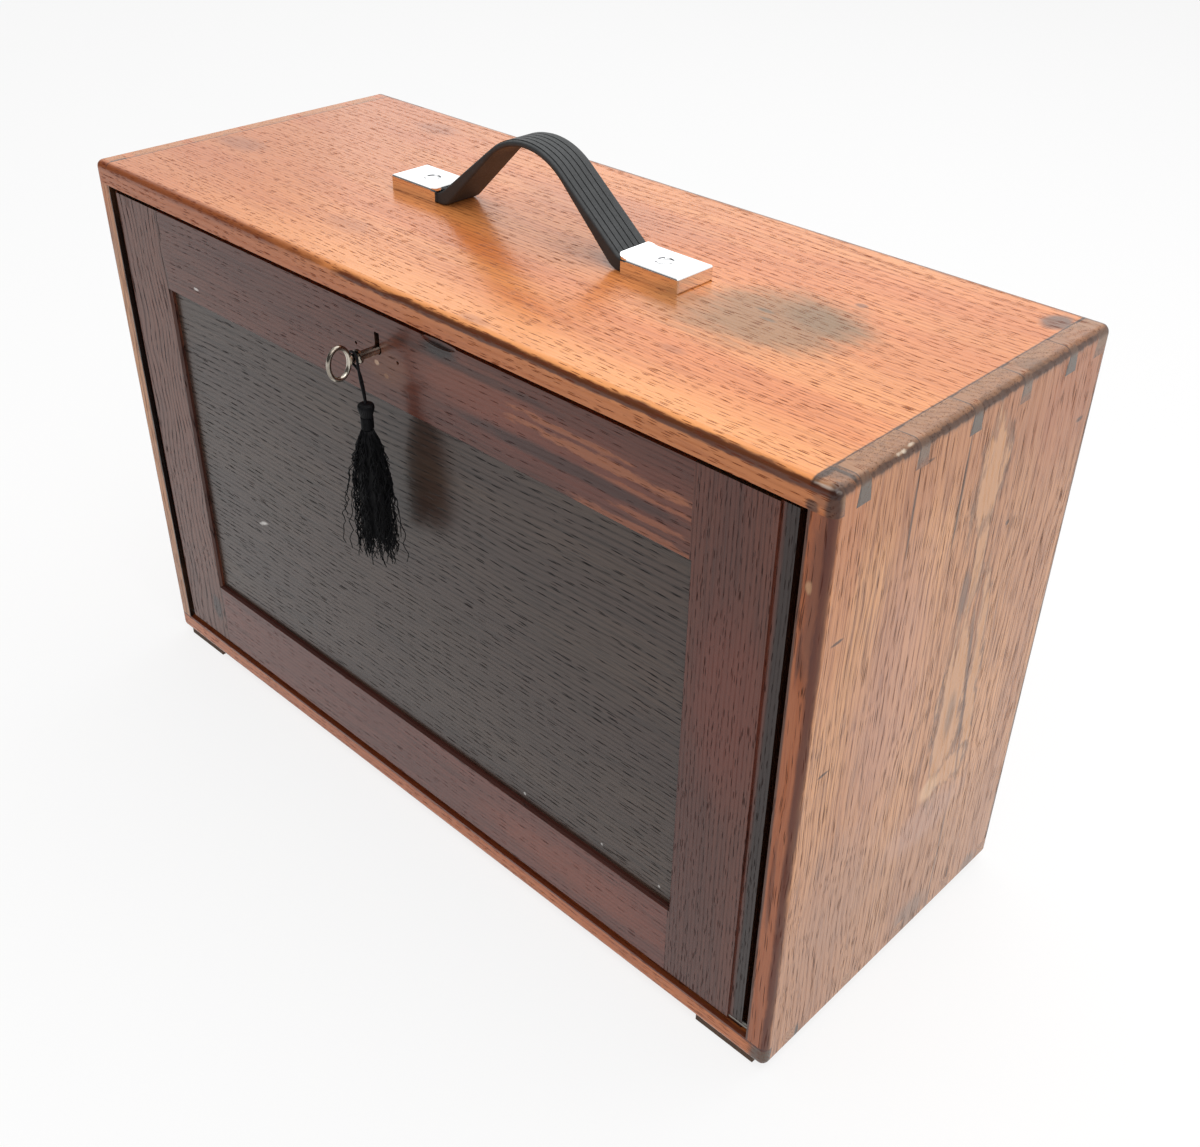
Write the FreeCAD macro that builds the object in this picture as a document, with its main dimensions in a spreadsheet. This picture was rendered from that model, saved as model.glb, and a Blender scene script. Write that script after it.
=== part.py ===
# Engineers toolbox: a dovetailed oak chest with a drop front, a strap handle on
# top and seven shallow drawers inside. Everything is in millimetres.
# X runs to the right, Y to the back and Z up. The origin is on the bench, under
# the middle of the space between the key's bow and the back of the chest.

import FreeCAD, Part
import math
import os
import re

import Sketcher
from FreeCAD import Placement, Rotation, Vector

doc = FreeCAD.newDocument("EngineersToolbox")

# Driving dimensions. Each name is an alias in the sheet Sizes.
sizes = {
    # Carcass
    "boxWidth": 508,
    "boxDepth": 203,
    "boxHeight": 322,
    "sideThickness": 12,
    "boardThickness": 12.5,
    "wornRadius": 4,
    "backThickness": 6,
    "backRebate": 6,
    # Through dovetails, along the depth of the ends
    "topPinCount": 5,
    "topFirstPin": 17,
    "topPinPitch": 38,
    "bottomPinCount": 4,
    "bottomFirstPin": 20,
    "bottomPinPitch": 46,
    "pinOuterWidth": 6,
    "pinInnerWidth": 9,
    "frontPinThickness": 4,
    "backPinThickness": 12,
    # Feet
    "footHeight": 4,
    "footLength": 36,
    "footWidth": 20,
    "footInset": 8,
    "footSetBack": 2,
    # Inside: slot for the stowed door, shelves, dividers and runners
    "stowHeight": 19,
    "shelfThickness": 5,
    "shelfHousing": 3,
    "dividerThickness": 6,
    "dividerHousing": 2,
    "runnerHeight": 6,
    "runnerGrip": 3,
    "runnerPlay": 0.3,
    # Drop front
    "doorThickness": 16,
    "doorRecess": 1.5,
    "doorBottomGap": 0.8,
    "doorTopGap": 3,
    "doorLeftGap": 1.2,
    "doorRightGap": 5,
    "leftStepWidth": 3,
    "rightStepWidth": 8,
    "edgeStepDepth": 1.2,
    "leftStileWidth": 45,
    "rightStileWidth": 49,
    "railWidth": 46,
    "panelRecess": 3,
    "openingBevel": 1.3,
    "panelThickness": 6,
    "panelGroove": 6,
    "panelPlay": 0.8,
    "tenonLength": 28,
    "tenonShoulder": 8,
    "hingeInset": 2.5,
    "hingePinRadius": 1.5,
    "hingePinPlay": 0.08,
    "hingePinReach": 5,
    "hingePinSeat": 18,
    "hingePinEndPlay": 0.5,
    "pinTrackEnd": 30,
    # Lock and key
    "keyLeftOfMiddle": 7,
    "keyBelowTop": 18.5,
    "shankRadius": 2.25,
    "keyholeRadius": 2.7,
    "keyholeSlotWidth": 3.6,
    "keyholeSlotPlay": 0.6,
    "bitReach": 8,
    "bitThickness": 2.6,
    "bitWidth": 5,
    "bitNotch": 1.2,
    "keyReach": 28,
    "bowHalfLength": 7,
    "bowHalfHeight": 9,
    "bowWireRadius": 1.2,
    "collarRadius": 3.6,
    "collarLength": 2.6,
    "collarGap": 2.6,
    "caseWidth": 44,
    "caseDepth": 10,
    "caseHeight": 32.5,
    "caseWall": 1.2,
    "plateOverlap": 6,
    "plateThickness": 1.2,
    "boltWidth": 14,
    "boltThickness": 5,
    "boltTopDrop": 0.5,
    "boltKeyClearance": 0.7,
    "boltPlay": 0.3,
    "boltThrow": 7,
    "boltHeadroom": 2.5,
    "strikeLength": 32,
    "strikeWidth": 10,
    "strikeThickness": 1.2,
    "lockScrewRadius": 1.2,
    "lockScrewHead": 2.2,
    "lockScrewLength": 6,
    "oldPinRadius": 0.9,
    "oldPinDepth": 4,
    "oldPinSpread": 15.6,
    "oldPinShift": 1.1,
    "oldPinDrop": 2.1,
    "wornScoopLength": 24,
    "wornScoopHeight": 3,
    "wornScoopDepth": 1.4,
    "wornScoopRight": 38,
    # Tassel on the key
    "cordRadius": 0.65,
    "cordClearance": 0.3,
    "cordSpread": 0.8,
    "tasselDrop": 20.5,
    "tasselLean": 6.4,
    "headRadius": 4.5,
    "headLength": 7,
    "neckRadius": 3.4,
    "neckLength": 6.5,
    "skirtLength": 76,
    "skirtHalfWidth": 15,
    "skirtHalfDepth": 10,
    # Carrying handle
    "capOuterX": 101,
    "capLength": 38,
    "capWidth": 25,
    "capHeight": 7.5,
    "capWall": 1.2,
    "capEdgeRadius": 1,
    "capMouthRadius": 3,
    "capFlareLength": 6,
    "capFlareRadius": 12,
    "capPlay": 0.3,
    "capSideSetBack": 2.8,
    "dimpleRadius": 4.5,
    "dimpleDepth": 0.7,
    "strapWidth": 22,
    "strapThickness": 3.2,
    "strapEdgeRadius": 1.2,
    "strapRibs": 5,
    "strapRibPitch": 3.6,
    "strapRibWidth": 2.9,
    "strapRibHeight": 0.4,
    "strapFootRadius": 8,
    "strapArchRadius": 38,
    "strapAngle": 44,
    "strapHeelLength": 12,
    "strapEndGap": 3,
    "handleScrewRadius": 2,
    "handleScrewHead": 4.2,
    "handleScrewHeadHeight": 1.8,
    "handleScrewDepth": 9,
    "handleScrewInset": 20,
    # Drawers, counted from the bottom
    "drawerRowGap": 1.5,
    "drawerSideGap": 1,
    "drawerFrontThickness": 8,
    "drawerSideThickness": 7,
    "drawerBottomThickness": 3,
    "drawerBottomLift": 4,
    "drawerBottomGroove": 3,
    "drawerBackGap": 2,
    "drawerEdgeDrop": 2,
    "knobRadius": 6,
    "knobNeckRadius": 3.2,
    "knobFootRadius": 4.6,
    "knobLength": 12,
    "knobGap": 2,
    # Cutters pass through what they cut by this much
    "overrun": 2,
}
# The four wide drawers' heights, from the bottom, of the height that the drawers
# share. The row of small ones has the rest.
bottomDrawerShare, fourthDrawerShare, thirdDrawerShare, secondDrawerShare = 0.247, 0.22, 0.197, 0.174
knobPlaceShare = 0.27     # a wide drawer's knobs, from its middle, as a share of its width
runnerPlaceShare = 0.5    # height of a runner up its drawer

sheet = doc.addObject("Spreadsheet::Sheet", "Sizes")
for row, (alias, size) in enumerate(sizes.items(), 1):
    sheet.set(f"A{row}", alias)
    sheet.set(f"B{row}", str(size))
    sheet.setAlias(f"B{row}", alias)
doc.recompute()

probe = doc.addObject("App::FeaturePython", "Probe")
probe.addProperty("App::PropertyFloat", "Result")


def bound(text):
    """An expression with each size's name pointed at the sheet."""
    return re.sub(r"[A-Za-z]\w*", lambda word: f"Sizes.{word[0]}" if word[0] in sizes else word[0], text)


def number(text):
    """What an expression comes to with the sheet's present sizes."""
    probe.setExpression("Result", bound(text))
    probe.recompute()
    return probe.Result


def placed(item, corner):
    for letter, text in zip("xyz", corner):
        item.setExpression(f"Placement.Base.{letter}", bound(text))
    return item


def box(name, corner, extent):
    item = doc.addObject("Part::Box", name)
    for side, text in zip(("Length", "Width", "Height"), extent):
        item.setExpression(side, bound(text))
    return placed(item, corner)


turns = {"X": Rotation(Vector(0, 1, 0), 90), "Y": Rotation(Vector(1, 0, 0), -90), "Z": Rotation()}


def rod(name, start, along, length, radius):
    item = doc.addObject("Part::Cylinder", name)
    item.setExpression("Height", bound(length))
    item.setExpression("Radius", bound(radius))
    item.Placement = Placement(Vector(), turns[along])
    return placed(item, start)


def joined(name, *pieces):
    item = doc.addObject("Part::MultiFuse", name)
    item.Shapes = list(pieces)
    return item


def grouped(name, *pieces):
    item = doc.addObject("Part::Compound", name)
    item.Links = list(pieces)
    return item


def cut(name, base, *tools):
    item = doc.addObject("Part::Cut", name)
    item.Base = base
    item.Tool = tools[0] if len(tools) == 1 else joined(f"{name}_cutter", *tools)
    return item


def shared(name, base, limit):
    item = doc.addObject("Part::Common", name)
    item.Base = base
    item.Tool = limit
    return item


def drawing(owner, plane, outlines, lift="0"):
    """A sketch on one of the body's planes: each corner is held by its two distances."""
    item = owner.newObject("Sketcher::SketchObject", f"{owner.Name}_drawing")
    origin = [face for face in owner.Origin.OriginFeatures if face.Role == plane][0]
    item.AttachmentSupport = [(origin, "")]
    item.MapMode = "FlatFace"
    item.setExpression("AttachmentOffset.Base.z", bound(lift))
    for outline in outlines:
        corners = [Vector(number(across), number(up), 0) for across, up in outline]
        first = item.GeometryCount
        for corner, following in zip(corners, corners[1:] + corners[:1]):
            item.addGeometry(Part.LineSegment(corner, following), False)
        for index, (across, up) in enumerate(outline):
            line = first + index
            after = first + (index + 1) % len(outline)
            item.addConstraint(Sketcher.Constraint("Coincident", line, 2, after, 1))
            for kind, text in (("DistanceX", across), ("DistanceY", up)):
                held = item.addConstraint(Sketcher.Constraint(kind, line, 1, number(text)))
                item.setExpression(f"Constraints[{held}]", bound(text))
    return item


def feature(owner, kind, profile, length=None):
    item = owner.newObject(f"PartDesign::{kind}", f"{owner.Name}_{kind.lower()}")
    item.Profile = profile
    if length:
        item.setExpression("Length", bound(length))
    return item


def padded(name, plane, outline, lift, length):
    """A body made by pushing one outline square off a plane."""
    owner = doc.addObject("PartDesign::Body", name)
    feature(owner, "Pad", drawing(owner, plane, [outline], lift), length)
    return owner


def turned(name, place, outline, axis):
    """A body of revolution about its own H_Axis, along Y, or V_Axis, along Z."""
    owner = doc.addObject("PartDesign::Body", name)
    profile = drawing(owner, "YZ_Plane", [outline])
    spin = owner.newObject("PartDesign::Revolution", f"{name}_revolution")
    spin.Profile = profile
    spin.ReferenceAxis = (profile, [axis])
    return placed(owner, place)


def softened(owner, radius, edges):
    """Rounds the edges of the body's tip that the test picks."""
    doc.recompute()
    base = owner.Tip
    picked = [f"Edge{n}" for n, edge in enumerate(base.Shape.Edges, 1) if edges(edge)]
    item = owner.newObject("PartDesign::Fillet", f"{owner.Name}_fillet")
    item.Base = (base, picked)
    item.setExpression("Radius", bound(radius))
    return owner


# Places that the pieces share, worked out from the sizes.
frontY = "((keyReach - boxDepth) / 2)"
backY = f"({frontY} + boxDepth)"
topZ = "(footHeight + boxHeight)"
innerX = "(boxWidth / 2 - sideThickness)"
floorZ = "(footHeight + boardThickness)"
ceilingZ = f"({topZ} - boardThickness)"
backInnerY = f"({backY} - backThickness)"
doorFaceY = f"({frontY} + doorRecess)"
doorBackY = f"({doorFaceY} + doorThickness)"
doorLowZ = f"({floorZ} + doorBottomGap)"
doorTopZ = f"({ceilingZ} - doorTopGap)"
doorLeftX = f"(doorLeftGap - {innerX})"
doorRightX = f"({innerX} - doorRightGap)"
hingeY = f"({doorFaceY} + hingeInset)"
hingeZ = f"({doorLowZ} + hingeInset)"
keyX = "(-keyLeftOfMiddle)"
keyZ = f"({doorTopZ} - keyBelowTop)"
drawerFaceY = f"({doorBackY} + knobGap + knobLength)"
drawerEndY = f"({backInnerY} - drawerBackGap)"
stowShelfZ = f"({floorZ} + stowHeight)"
drawerSpace = f"({ceilingZ} - {stowShelfZ} - 2 * shelfThickness - 6 * drawerRowGap - runnerPlay)"
bottomDrawerHeight = f"({bottomDrawerShare} * {drawerSpace})"
fourthDrawerHeight = f"({fourthDrawerShare} * {drawerSpace})"
thirdDrawerHeight = f"({thirdDrawerShare} * {drawerSpace})"
secondDrawerHeight = f"({secondDrawerShare} * {drawerSpace})"
bottomDrawerZ = f"({stowShelfZ} + shelfThickness + drawerRowGap)"
fourthDrawerZ = f"({bottomDrawerZ} + {bottomDrawerHeight} + drawerRowGap)"
thirdDrawerZ = f"({fourthDrawerZ} + {fourthDrawerHeight} + drawerRowGap)"
secondDrawerZ = f"({thirdDrawerZ} + {thirdDrawerHeight} + drawerRowGap)"
upperShelfZ = f"({secondDrawerZ} + {secondDrawerHeight} + drawerRowGap)"
topDrawerZ = f"({upperShelfZ} + shelfThickness + runnerPlay)"
topDrawerHeight = f"({ceilingZ} - drawerRowGap - {topDrawerZ})"


# Carcass. The rounded block is the outside that years of handling left.
block = padded("worn_block", "XY_Plane",
               [("-boxWidth / 2", frontY), ("boxWidth / 2", frontY),
                ("boxWidth / 2", backY), ("-boxWidth / 2", backY)], "footHeight", "boxHeight")
softened(block, "wornRadius", lambda edge: True)


def dovetailBoard(place, lowZ, outerZ, innerZ):
    """A board whose ends are left as pins: the sockets between them take the tails."""
    name = f"{place}_blank"
    board = padded(name, "XY_Plane",
                   [("-boxWidth / 2", frontY), ("boxWidth / 2", frontY),
                    ("boxWidth / 2", backY), ("-boxWidth / 2", backY)], lowZ, "boardThickness")
    flare = "(pinInnerWidth - pinOuterWidth) / 2"
    starts = [f"{frontY} + frontPinThickness"]
    ends = []
    for index in range(int(sizes[f"{place}PinCount"])):
        middle = f"{frontY} + {place}FirstPin + {place}PinPitch * {index}"
        ends.append(f"{middle} - pinOuterWidth / 2")
        starts.append(f"{middle} + pinOuterWidth / 2")
    ends.append(f"{backY} - backPinThickness")
    sockets = [[(start, outerZ), (end, outerZ), (f"{end} - {flare}", innerZ), (f"{start} + {flare}", innerZ)]
               for start, end in zip(starts, ends)]
    pocket = feature(board, "Pocket", drawing(board, "YZ_Plane", sockets, "boxWidth / 2"), "sideThickness")
    doc.recompute()
    mirror = board.newObject("PartDesign::Mirrored", f"{name}_mirrored")
    mirror.Originals = [pocket]
    plane = [face for face in board.Origin.OriginFeatures if face.Role == "YZ_Plane"][0]
    mirror.MirrorPlane = (plane, [""])
    board.Tip = mirror
    return board


topBlank = dovetailBoard("top", ceilingZ, topZ, ceilingZ)
bottomBlank = dovetailBoard("bottom", "footHeight", "footHeight", floorZ)

backPanel = box("back_panel", (f"-{innerX} - backRebate", backInnerY, f"{floorZ} - backRebate"),
                (f"2 * ({innerX} + backRebate)", "backThickness",
                 f"{ceilingZ} - {floorZ} + 2 * backRebate"))


def shelf(name, lowZ):
    return box(name, (f"-{innerX} - shelfHousing", drawerFaceY, lowZ),
               (f"2 * ({innerX} + shelfHousing)", f"{backInnerY} - {drawerFaceY}", "shelfThickness"))


stowShelf = shelf("stow_shelf", stowShelfZ)
upperBoard = shelf("upper_board", upperShelfZ)

pinTrack = joined(
    "pin_track",
    box("pin_track_run",
        (f"-{innerX} - hingePinReach - hingePinEndPlay", hingeY, f"{hingeZ} - hingePinRadius - hingePinPlay"),
        (f"2 * ({innerX} + hingePinReach + hingePinEndPlay)", f"{backY} - pinTrackEnd - {hingeY}",
         "2 * (hingePinRadius + hingePinPlay)")),
    rod("pin_track_end", (f"-{innerX} - hingePinReach - hingePinEndPlay", hingeY, hingeZ), "X",
        f"2 * ({innerX} + hingePinReach + hingePinEndPlay)", "hingePinRadius + hingePinPlay"))


def sideBoard(name, lowX):
    """An end board with its tails: whatever the pins, shelves and back don't take."""
    blank = box(f"{name}_blank", (lowX, frontY, "footHeight"), ("sideThickness", "boxDepth", "boxHeight"))
    worn = shared(f"{name}_worn", blank, block)
    return cut(name, worn, topBlank, bottomBlank, backPanel, stowShelf, upperBoard, pinTrack)


leftSide = sideBoard("left_side", "-boxWidth / 2")
rightSide = sideBoard("right_side", innerX)


# Dividers between the three small drawers, housed in the shelf and the top.
dividerPitch = f"(2 * {innerX} + dividerThickness) / 3"


def divider(name, middleX):
    return box(name, (f"{middleX} - dividerThickness / 2", drawerFaceY,
                      f"{upperShelfZ} + shelfThickness - dividerHousing"),
               ("dividerThickness", f"{backInnerY} - {drawerFaceY}",
                f"{ceilingZ} - {upperShelfZ} - shelfThickness + 2 * dividerHousing"))


dividerLeft = divider("divider_left", f"-{dividerPitch} / 2")
dividerRight = divider("divider_right", f"{dividerPitch} / 2")
upperShelf = cut("upper_shelf", upperBoard, dividerLeft, dividerRight)


def foot(name, x, y):
    return box(name, (x, y, "0"), ("footLength", "footWidth", "footHeight"))


feet = grouped("feet", *[
    foot(f"foot_{row}_{side}", x, y)
    for row, y in (("front", f"{frontY} + footSetBack"), ("back", f"{backY} - footSetBack - footWidth"))
    for side, x in (("left", "-boxWidth / 2 + footInset"),
                    ("right", "boxWidth / 2 - footInset - footLength"))])


# Carrying handle: a moulded strap held by a screw at each end, under plated caps.
handleY = f"({frontY} + boxDepth / 2)"
mouthX = "(capOuterX - capLength)"
screwX = "(capOuterX - handleScrewInset)"


def strapOutline(below, above):
    """The strap's side view, between two offsets from its middle line: flat ends, a
    tight curve up and a wide arch. Its top fills the caps' mouths in a thicker heel."""
    angle = math.radians(sizes["strapAngle"])
    footRadius, archRadius = number("strapFootRadius"), number("strapArchRadius")
    half = number("strapThickness / 2")
    level, curve = number(topZ) + half, number(mouthX)
    straight = (curve - (footRadius + archRadius) * math.sin(angle)) / math.cos(angle)
    end = number("capOuterX - capWall - strapEndGap")
    rise = (footRadius + archRadius) * (1 - math.cos(angle)) + straight * math.sin(angle)
    archCentre = Vector(0, 0, level + rise - archRadius)

    def side(offset, centre, foot, first):
        """Lines and arcs from the left end to the right one, past two feet and an arch."""
        arch = archRadius + offset
        between = centre - archCentre
        turn = math.pi / 2 - math.atan2(between.z, between.x) - math.acos((foot + arch) / between.Length)

        def onFoot(sign, angle):
            return Vector(sign * (centre.x - foot * math.sin(angle)), 0, centre.z - foot * math.cos(angle))

        def onArch(angle):
            return archCentre + Vector(arch * math.sin(angle), 0, arch * math.cos(angle))

        flat = first + [onFoot(1, 0)]
        mirrored = [Vector(-point.x, 0, point.z) for point in flat]
        return [*[Part.LineSegment(*pair) for pair in zip(mirrored, mirrored[1:])],
                Part.Arc(onFoot(-1, 0), onFoot(-1, turn / 2), onFoot(-1, turn)),
                Part.LineSegment(onFoot(-1, turn), onArch(-turn)),
                Part.Arc(onArch(-turn), onArch(0), onArch(turn)),
                Part.LineSegment(onArch(turn), onFoot(1, turn)),
                Part.Arc(onFoot(1, turn), onFoot(1, turn / 2), onFoot(1, 0)),
                *[Part.LineSegment(b, a) for a, b in reversed(list(zip(flat, flat[1:])))]]

    drop = half - above
    heelCentre = Vector(number(f"{mouthX} + capFlareLength"), 0,
                        number(f"{topZ} + capHeight + capFlareRadius"))
    heelRadius = number("capFlareRadius + capWall + capPlay") + drop
    heelTop, heelEnd = heelCentre.z - heelRadius, number(f"{mouthX} + strapHeelLength")
    upper = side(above, heelCentre, heelRadius, [Vector(end, 0, level + above),
                                                 Vector(heelEnd, 0, level + above),
                                                 Vector(heelEnd, 0, heelTop)])
    footCentre = Vector(curve, 0, level + footRadius)
    lower = side(below, footCentre, footRadius - below, [Vector(end, 0, level + below)])
    caps = [Part.LineSegment(upper[0].StartPoint, lower[0].StartPoint),
            Part.LineSegment(upper[-1].EndPoint, lower[-1].EndPoint)]
    edges = [piece.toShape() for piece in upper + lower + caps]
    return Part.Face(Part.Wire(Part.__sortEdges__(edges)))


def strapShape():
    """A band with rounded edges and low ribs along its top."""
    half, width = number("strapThickness / 2"), number("strapWidth")
    ribWidth, pitch, ribs = number("strapRibWidth"), number("strapRibPitch"), int(sizes["strapRibs"])
    bandTop = half - number("strapRibHeight")
    band = strapOutline(-half, bandTop).extrude(Vector(0, width, 0))
    rims = [edge for edge in band.Edges
            if edge.BoundBox.YLength < half and edge.BoundBox.XLength > half]
    band = band.makeFillet(number("strapEdgeRadius"), rims)
    first = (width - pitch * (ribs - 1) - ribWidth) / 2
    for index in range(ribs):
        rib = strapOutline(0, half).extrude(Vector(0, ribWidth, 0))
        rib.translate(Vector(0, first + pitch * index, 0))
        band = band.fuse(rib)
    return band.removeSplitter()


strapBlank = doc.addObject("Part::Feature", "strap_blank")
strapBlank.Shape = strapShape()
strapBlank.Placement = Placement(Vector(0, number(f"{handleY} - strapWidth / 2"), 0), Rotation())


def handleScrew(name, x):
    """A round-head screw that holds one end of the strap down."""
    shank = rod(f"{name}_shank", (x, handleY, f"{topZ} - handleScrewDepth"), "Z",
                "handleScrewDepth + strapThickness", "handleScrewRadius")
    head = rod(f"{name}_head", (x, handleY, f"{topZ} + strapThickness"), "Z",
               "handleScrewHeadHeight", "handleScrewHead")
    return joined(name, shank, head)


screwLeft = handleScrew("screw_left", f"-{screwX}")
screwRight = handleScrew("screw_right", screwX)
handleScrews = grouped("handle_screws", screwLeft, screwRight)
handleStrap = cut("handle_strap", strapBlank, screwLeft, screwRight)


def handleCap(name, sign):
    """A pressed cap, open below and at its mouth, with a flared lip and a dimple."""
    def across(low, high):
        """Two places along X, from the strap's middle, in order on this cap's side."""
        return (f"-({high})", f"-({low})") if sign < 0 else (low, high)

    def slab(part, low, high, width, lowZ, height):
        left, right = across(low, high)
        return padded(f"{name}_{part}", "XY_Plane",
                      [(left, f"{handleY} - {width} / 2"), (right, f"{handleY} - {width} / 2"),
                       (right, f"{handleY} + {width} / 2"), (left, f"{handleY} + {width} / 2")], lowZ, height)

    sidesX = f"({mouthX} + capSideSetBack)"
    shell = slab("shell", sidesX, "capOuterX", "capWidth", topZ, "capHeight")
    top = number(f"{topZ} + capHeight")
    endX, openX, lipX = (sign * number(x) for x in ("capOuterX", sidesX, mouthX))
    near = 0.01 * number("capHeight")

    def onRim(edge):
        box = edge.BoundBox
        onTop = abs(box.ZMin - top) < near and abs(edge.CenterOfMass.x - openX) > near
        return onTop or abs(edge.CenterOfMass.x - endX) < near

    softened(shell, "capEdgeRadius", onRim)
    flareStart = f"({mouthX} + capFlareLength)"
    hollow = slab("hollow", f"{mouthX} - overrun", "capOuterX - capWall", "(capWidth - 2 * capWall)",
                  f"{topZ} - overrun", "capHeight - capWall + overrun")
    relief = slab("relief", f"{mouthX} - overrun", flareStart, "(capWidth + overrun)",
                  f"{topZ} + capHeight - capWall", "capWall + overrun")
    lip = slab("lip", mouthX, flareStart, "(capWidth - 2 * capEdgeRadius)",
               f"{topZ} + capHeight - 2 * capWall", "capFlareRadius")
    softened(lip, "capMouthRadius",
             lambda edge: edge.BoundBox.ZLength > near and abs(edge.CenterOfMass.x - lipX) < near)
    bend = [rod(f"{name}_{part}", (across(flareStart, flareStart)[0], f"{handleY} - capWidth / 2",
                                   f"{topZ} + capHeight + capFlareRadius"), "Y", "capWidth", radius)
            for part, radius in (("bend_under", "capFlareRadius + capWall"), ("bend_top", "capFlareRadius"))]
    flare = shared(f"{name}_flare", lip, cut(f"{name}_bend", *bend))
    dish = doc.addObject("Part::Sphere", f"{name}_dish")
    bowl = "(dimpleRadius * dimpleRadius + dimpleDepth * dimpleDepth) / (2 * dimpleDepth)"
    dish.setExpression("Radius", bound(bowl))
    middle = across("capOuterX - capLength / 2", "capOuterX - capLength / 2")[0]
    placed(dish, (middle, handleY, f"{topZ} + capHeight - dimpleDepth + {bowl}"))
    return joined(name, cut(f"{name}_pressing", shell, hollow, relief, dish), flare)


capLeft = handleCap("handle_cap_left", -1)
capRight = handleCap("handle_cap_right", 1)


# Strike plate for the bolt, let into the underside of the top board.
boltY = f"({doorBackY} - plateThickness - caseWall - boltPlay - boltThickness)"
strikeHole = box("strike_hole",
                 (f"{keyX} - boltWidth / 2 - boltPlay", f"{boltY} - boltPlay", f"{ceilingZ} - overrun"),
                 ("boltWidth + 2 * boltPlay", "boltThickness + 2 * boltPlay",
                  f"{doorTopZ} - boltTopDrop + boltThrow + boltHeadroom - {ceilingZ} + overrun"))
strikeBlank = box("strike_blank",
                  (f"{keyX} - strikeLength / 2", f"{boltY} + boltThickness / 2 - strikeWidth / 2", ceilingZ),
                  ("strikeLength", "strikeWidth", "strikeThickness"))
strikePlate = cut("strike_plate", strikeBlank, strikeHole)

topWorn = shared("top_worn", topBlank, block)
topBoard = cut("top_board", topWorn, backPanel, strikeBlank, strikeHole, screwLeft, screwRight,
               dividerLeft, dividerRight)
bottomWorn = shared("bottom_worn", bottomBlank, block)
bottomBoard = cut("bottom_board", bottomWorn, backPanel)


# Drop front: a frame of two stiles and two rails round a floating panel. The
# stepped edges of the stiles pass inside the carcass, and two pins at the foot
# turn in the front ends of tracks cut in the carcass sides.
hingeCorner = cut(
    "hinge_corner",
    box("hinge_corner_block", (f"{doorLeftX} - overrun", f"{doorFaceY} - overrun", f"{doorLowZ} - overrun"),
        (f"{doorRightX} - {doorLeftX} + 2 * overrun", "hingeInset + overrun", "hingeInset + overrun")),
    rod("hinge_corner_round", (f"{doorLeftX} - 2 * overrun", hingeY, hingeZ), "X",
        f"{doorRightX} - {doorLeftX} + 4 * overrun", "hingeInset"))

railLowX = f"({doorLeftX} + leftStileWidth)"
railLength = f"({doorRightX} - {doorLeftX} - leftStileWidth - rightStileWidth)"
grooveY = f"({doorFaceY} + panelRecess)"
grooveBackY = f"({grooveY} + panelThickness)"


# The bevel round the panel is cut from all four pieces of the frame at once.
openingBevel = doc.addObject("Part::Wedge", "opening_bevel")
bevelEdge = "(openingBevel + overrun)"
for place, size in (
        ("Xmin", f"{railLowX} - {bevelEdge}"), ("X2min", railLowX), ("X2max", f"{railLowX} + {railLength}"),
        ("Xmax", f"{railLowX} + {railLength} + {bevelEdge}"),
        ("Zmin", f"{doorLowZ} + railWidth - {bevelEdge}"), ("Z2min", f"{doorLowZ} + railWidth"),
        ("Z2max", f"{doorTopZ} - railWidth"), ("Zmax", f"{doorTopZ} - railWidth + {bevelEdge}"),
        ("Ymin", f"{doorFaceY} - overrun"), ("Ymax", f"{doorFaceY} + openingBevel")):
    openingBevel.setExpression(place, bound(size))


def rail(name, lowZ, grooveUp):
    """A rail with the panel's groove along its inner edge and a tenon at each end."""
    highZ = f"({lowZ} + railWidth)"
    inner, depth = (highZ, "- panelGroove") if grooveUp else (lowZ, "+ panelGroove")
    plain = lowZ if grooveUp else highZ
    outline = [(doorFaceY, plain), (doorFaceY, inner), (grooveY, inner), (grooveY, f"{inner} {depth}"),
               (grooveBackY, f"{inner} {depth}"), (grooveBackY, inner), (doorBackY, inner),
               (doorBackY, plain)]
    length = padded(f"{name}_length", "YZ_Plane", outline, railLowX, railLength)
    tenon = box(f"{name}_tenons", (f"{railLowX} - tenonLength", grooveY, f"{lowZ} + tenonShoulder"),
                (f"{railLength} + 2 * tenonLength", "panelThickness", "railWidth - 2 * tenonShoulder"))
    return joined(f"{name}_blank", length, tenon)


bottomRailBlank = rail("door_bottom_rail", doorLowZ, True)
topRailBlank = rail("door_top_rail", f"({doorTopZ} - railWidth)", False)


def hingePin(name, start, length):
    return rod(name, (start, hingeY, hingeZ), "X", length, "hingePinRadius")


pinLeft = hingePin("pin_left", f"-{innerX} - hingePinReach", "hingePinReach + doorLeftGap + hingePinSeat")
pinRight = hingePin("pin_right", f"{doorRightX} - hingePinSeat",
                    "hingePinReach + doorRightGap + hingePinSeat")
doorPins = grouped("door_pins", pinLeft, pinRight)


def stile(name, edgeX, sign, width, step, pin):
    """A full-height stile: stepped outer edge, grooved inner edge, mortised for the rails."""
    def inward(distance):
        return f"{edgeX} {sign} ({distance})"

    outline = [(inward("0"), f"{doorFaceY} + edgeStepDepth"),
               (inward(step), f"{doorFaceY} + edgeStepDepth"),
               (inward(step), doorFaceY), (inward(width), doorFaceY),
               (inward(width), grooveY), (inward(f"{width} - panelGroove"), grooveY),
               (inward(f"{width} - panelGroove"), grooveBackY), (inward(width), grooveBackY),
               (inward(width), doorBackY), (inward("0"), doorBackY)]
    length = padded(f"{name}_length", "XY_Plane", outline, doorLowZ, f"{doorTopZ} - {doorLowZ}")
    return cut(name, length, bottomRailBlank, topRailBlank, hingeCorner, pin, openingBevel)


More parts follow.
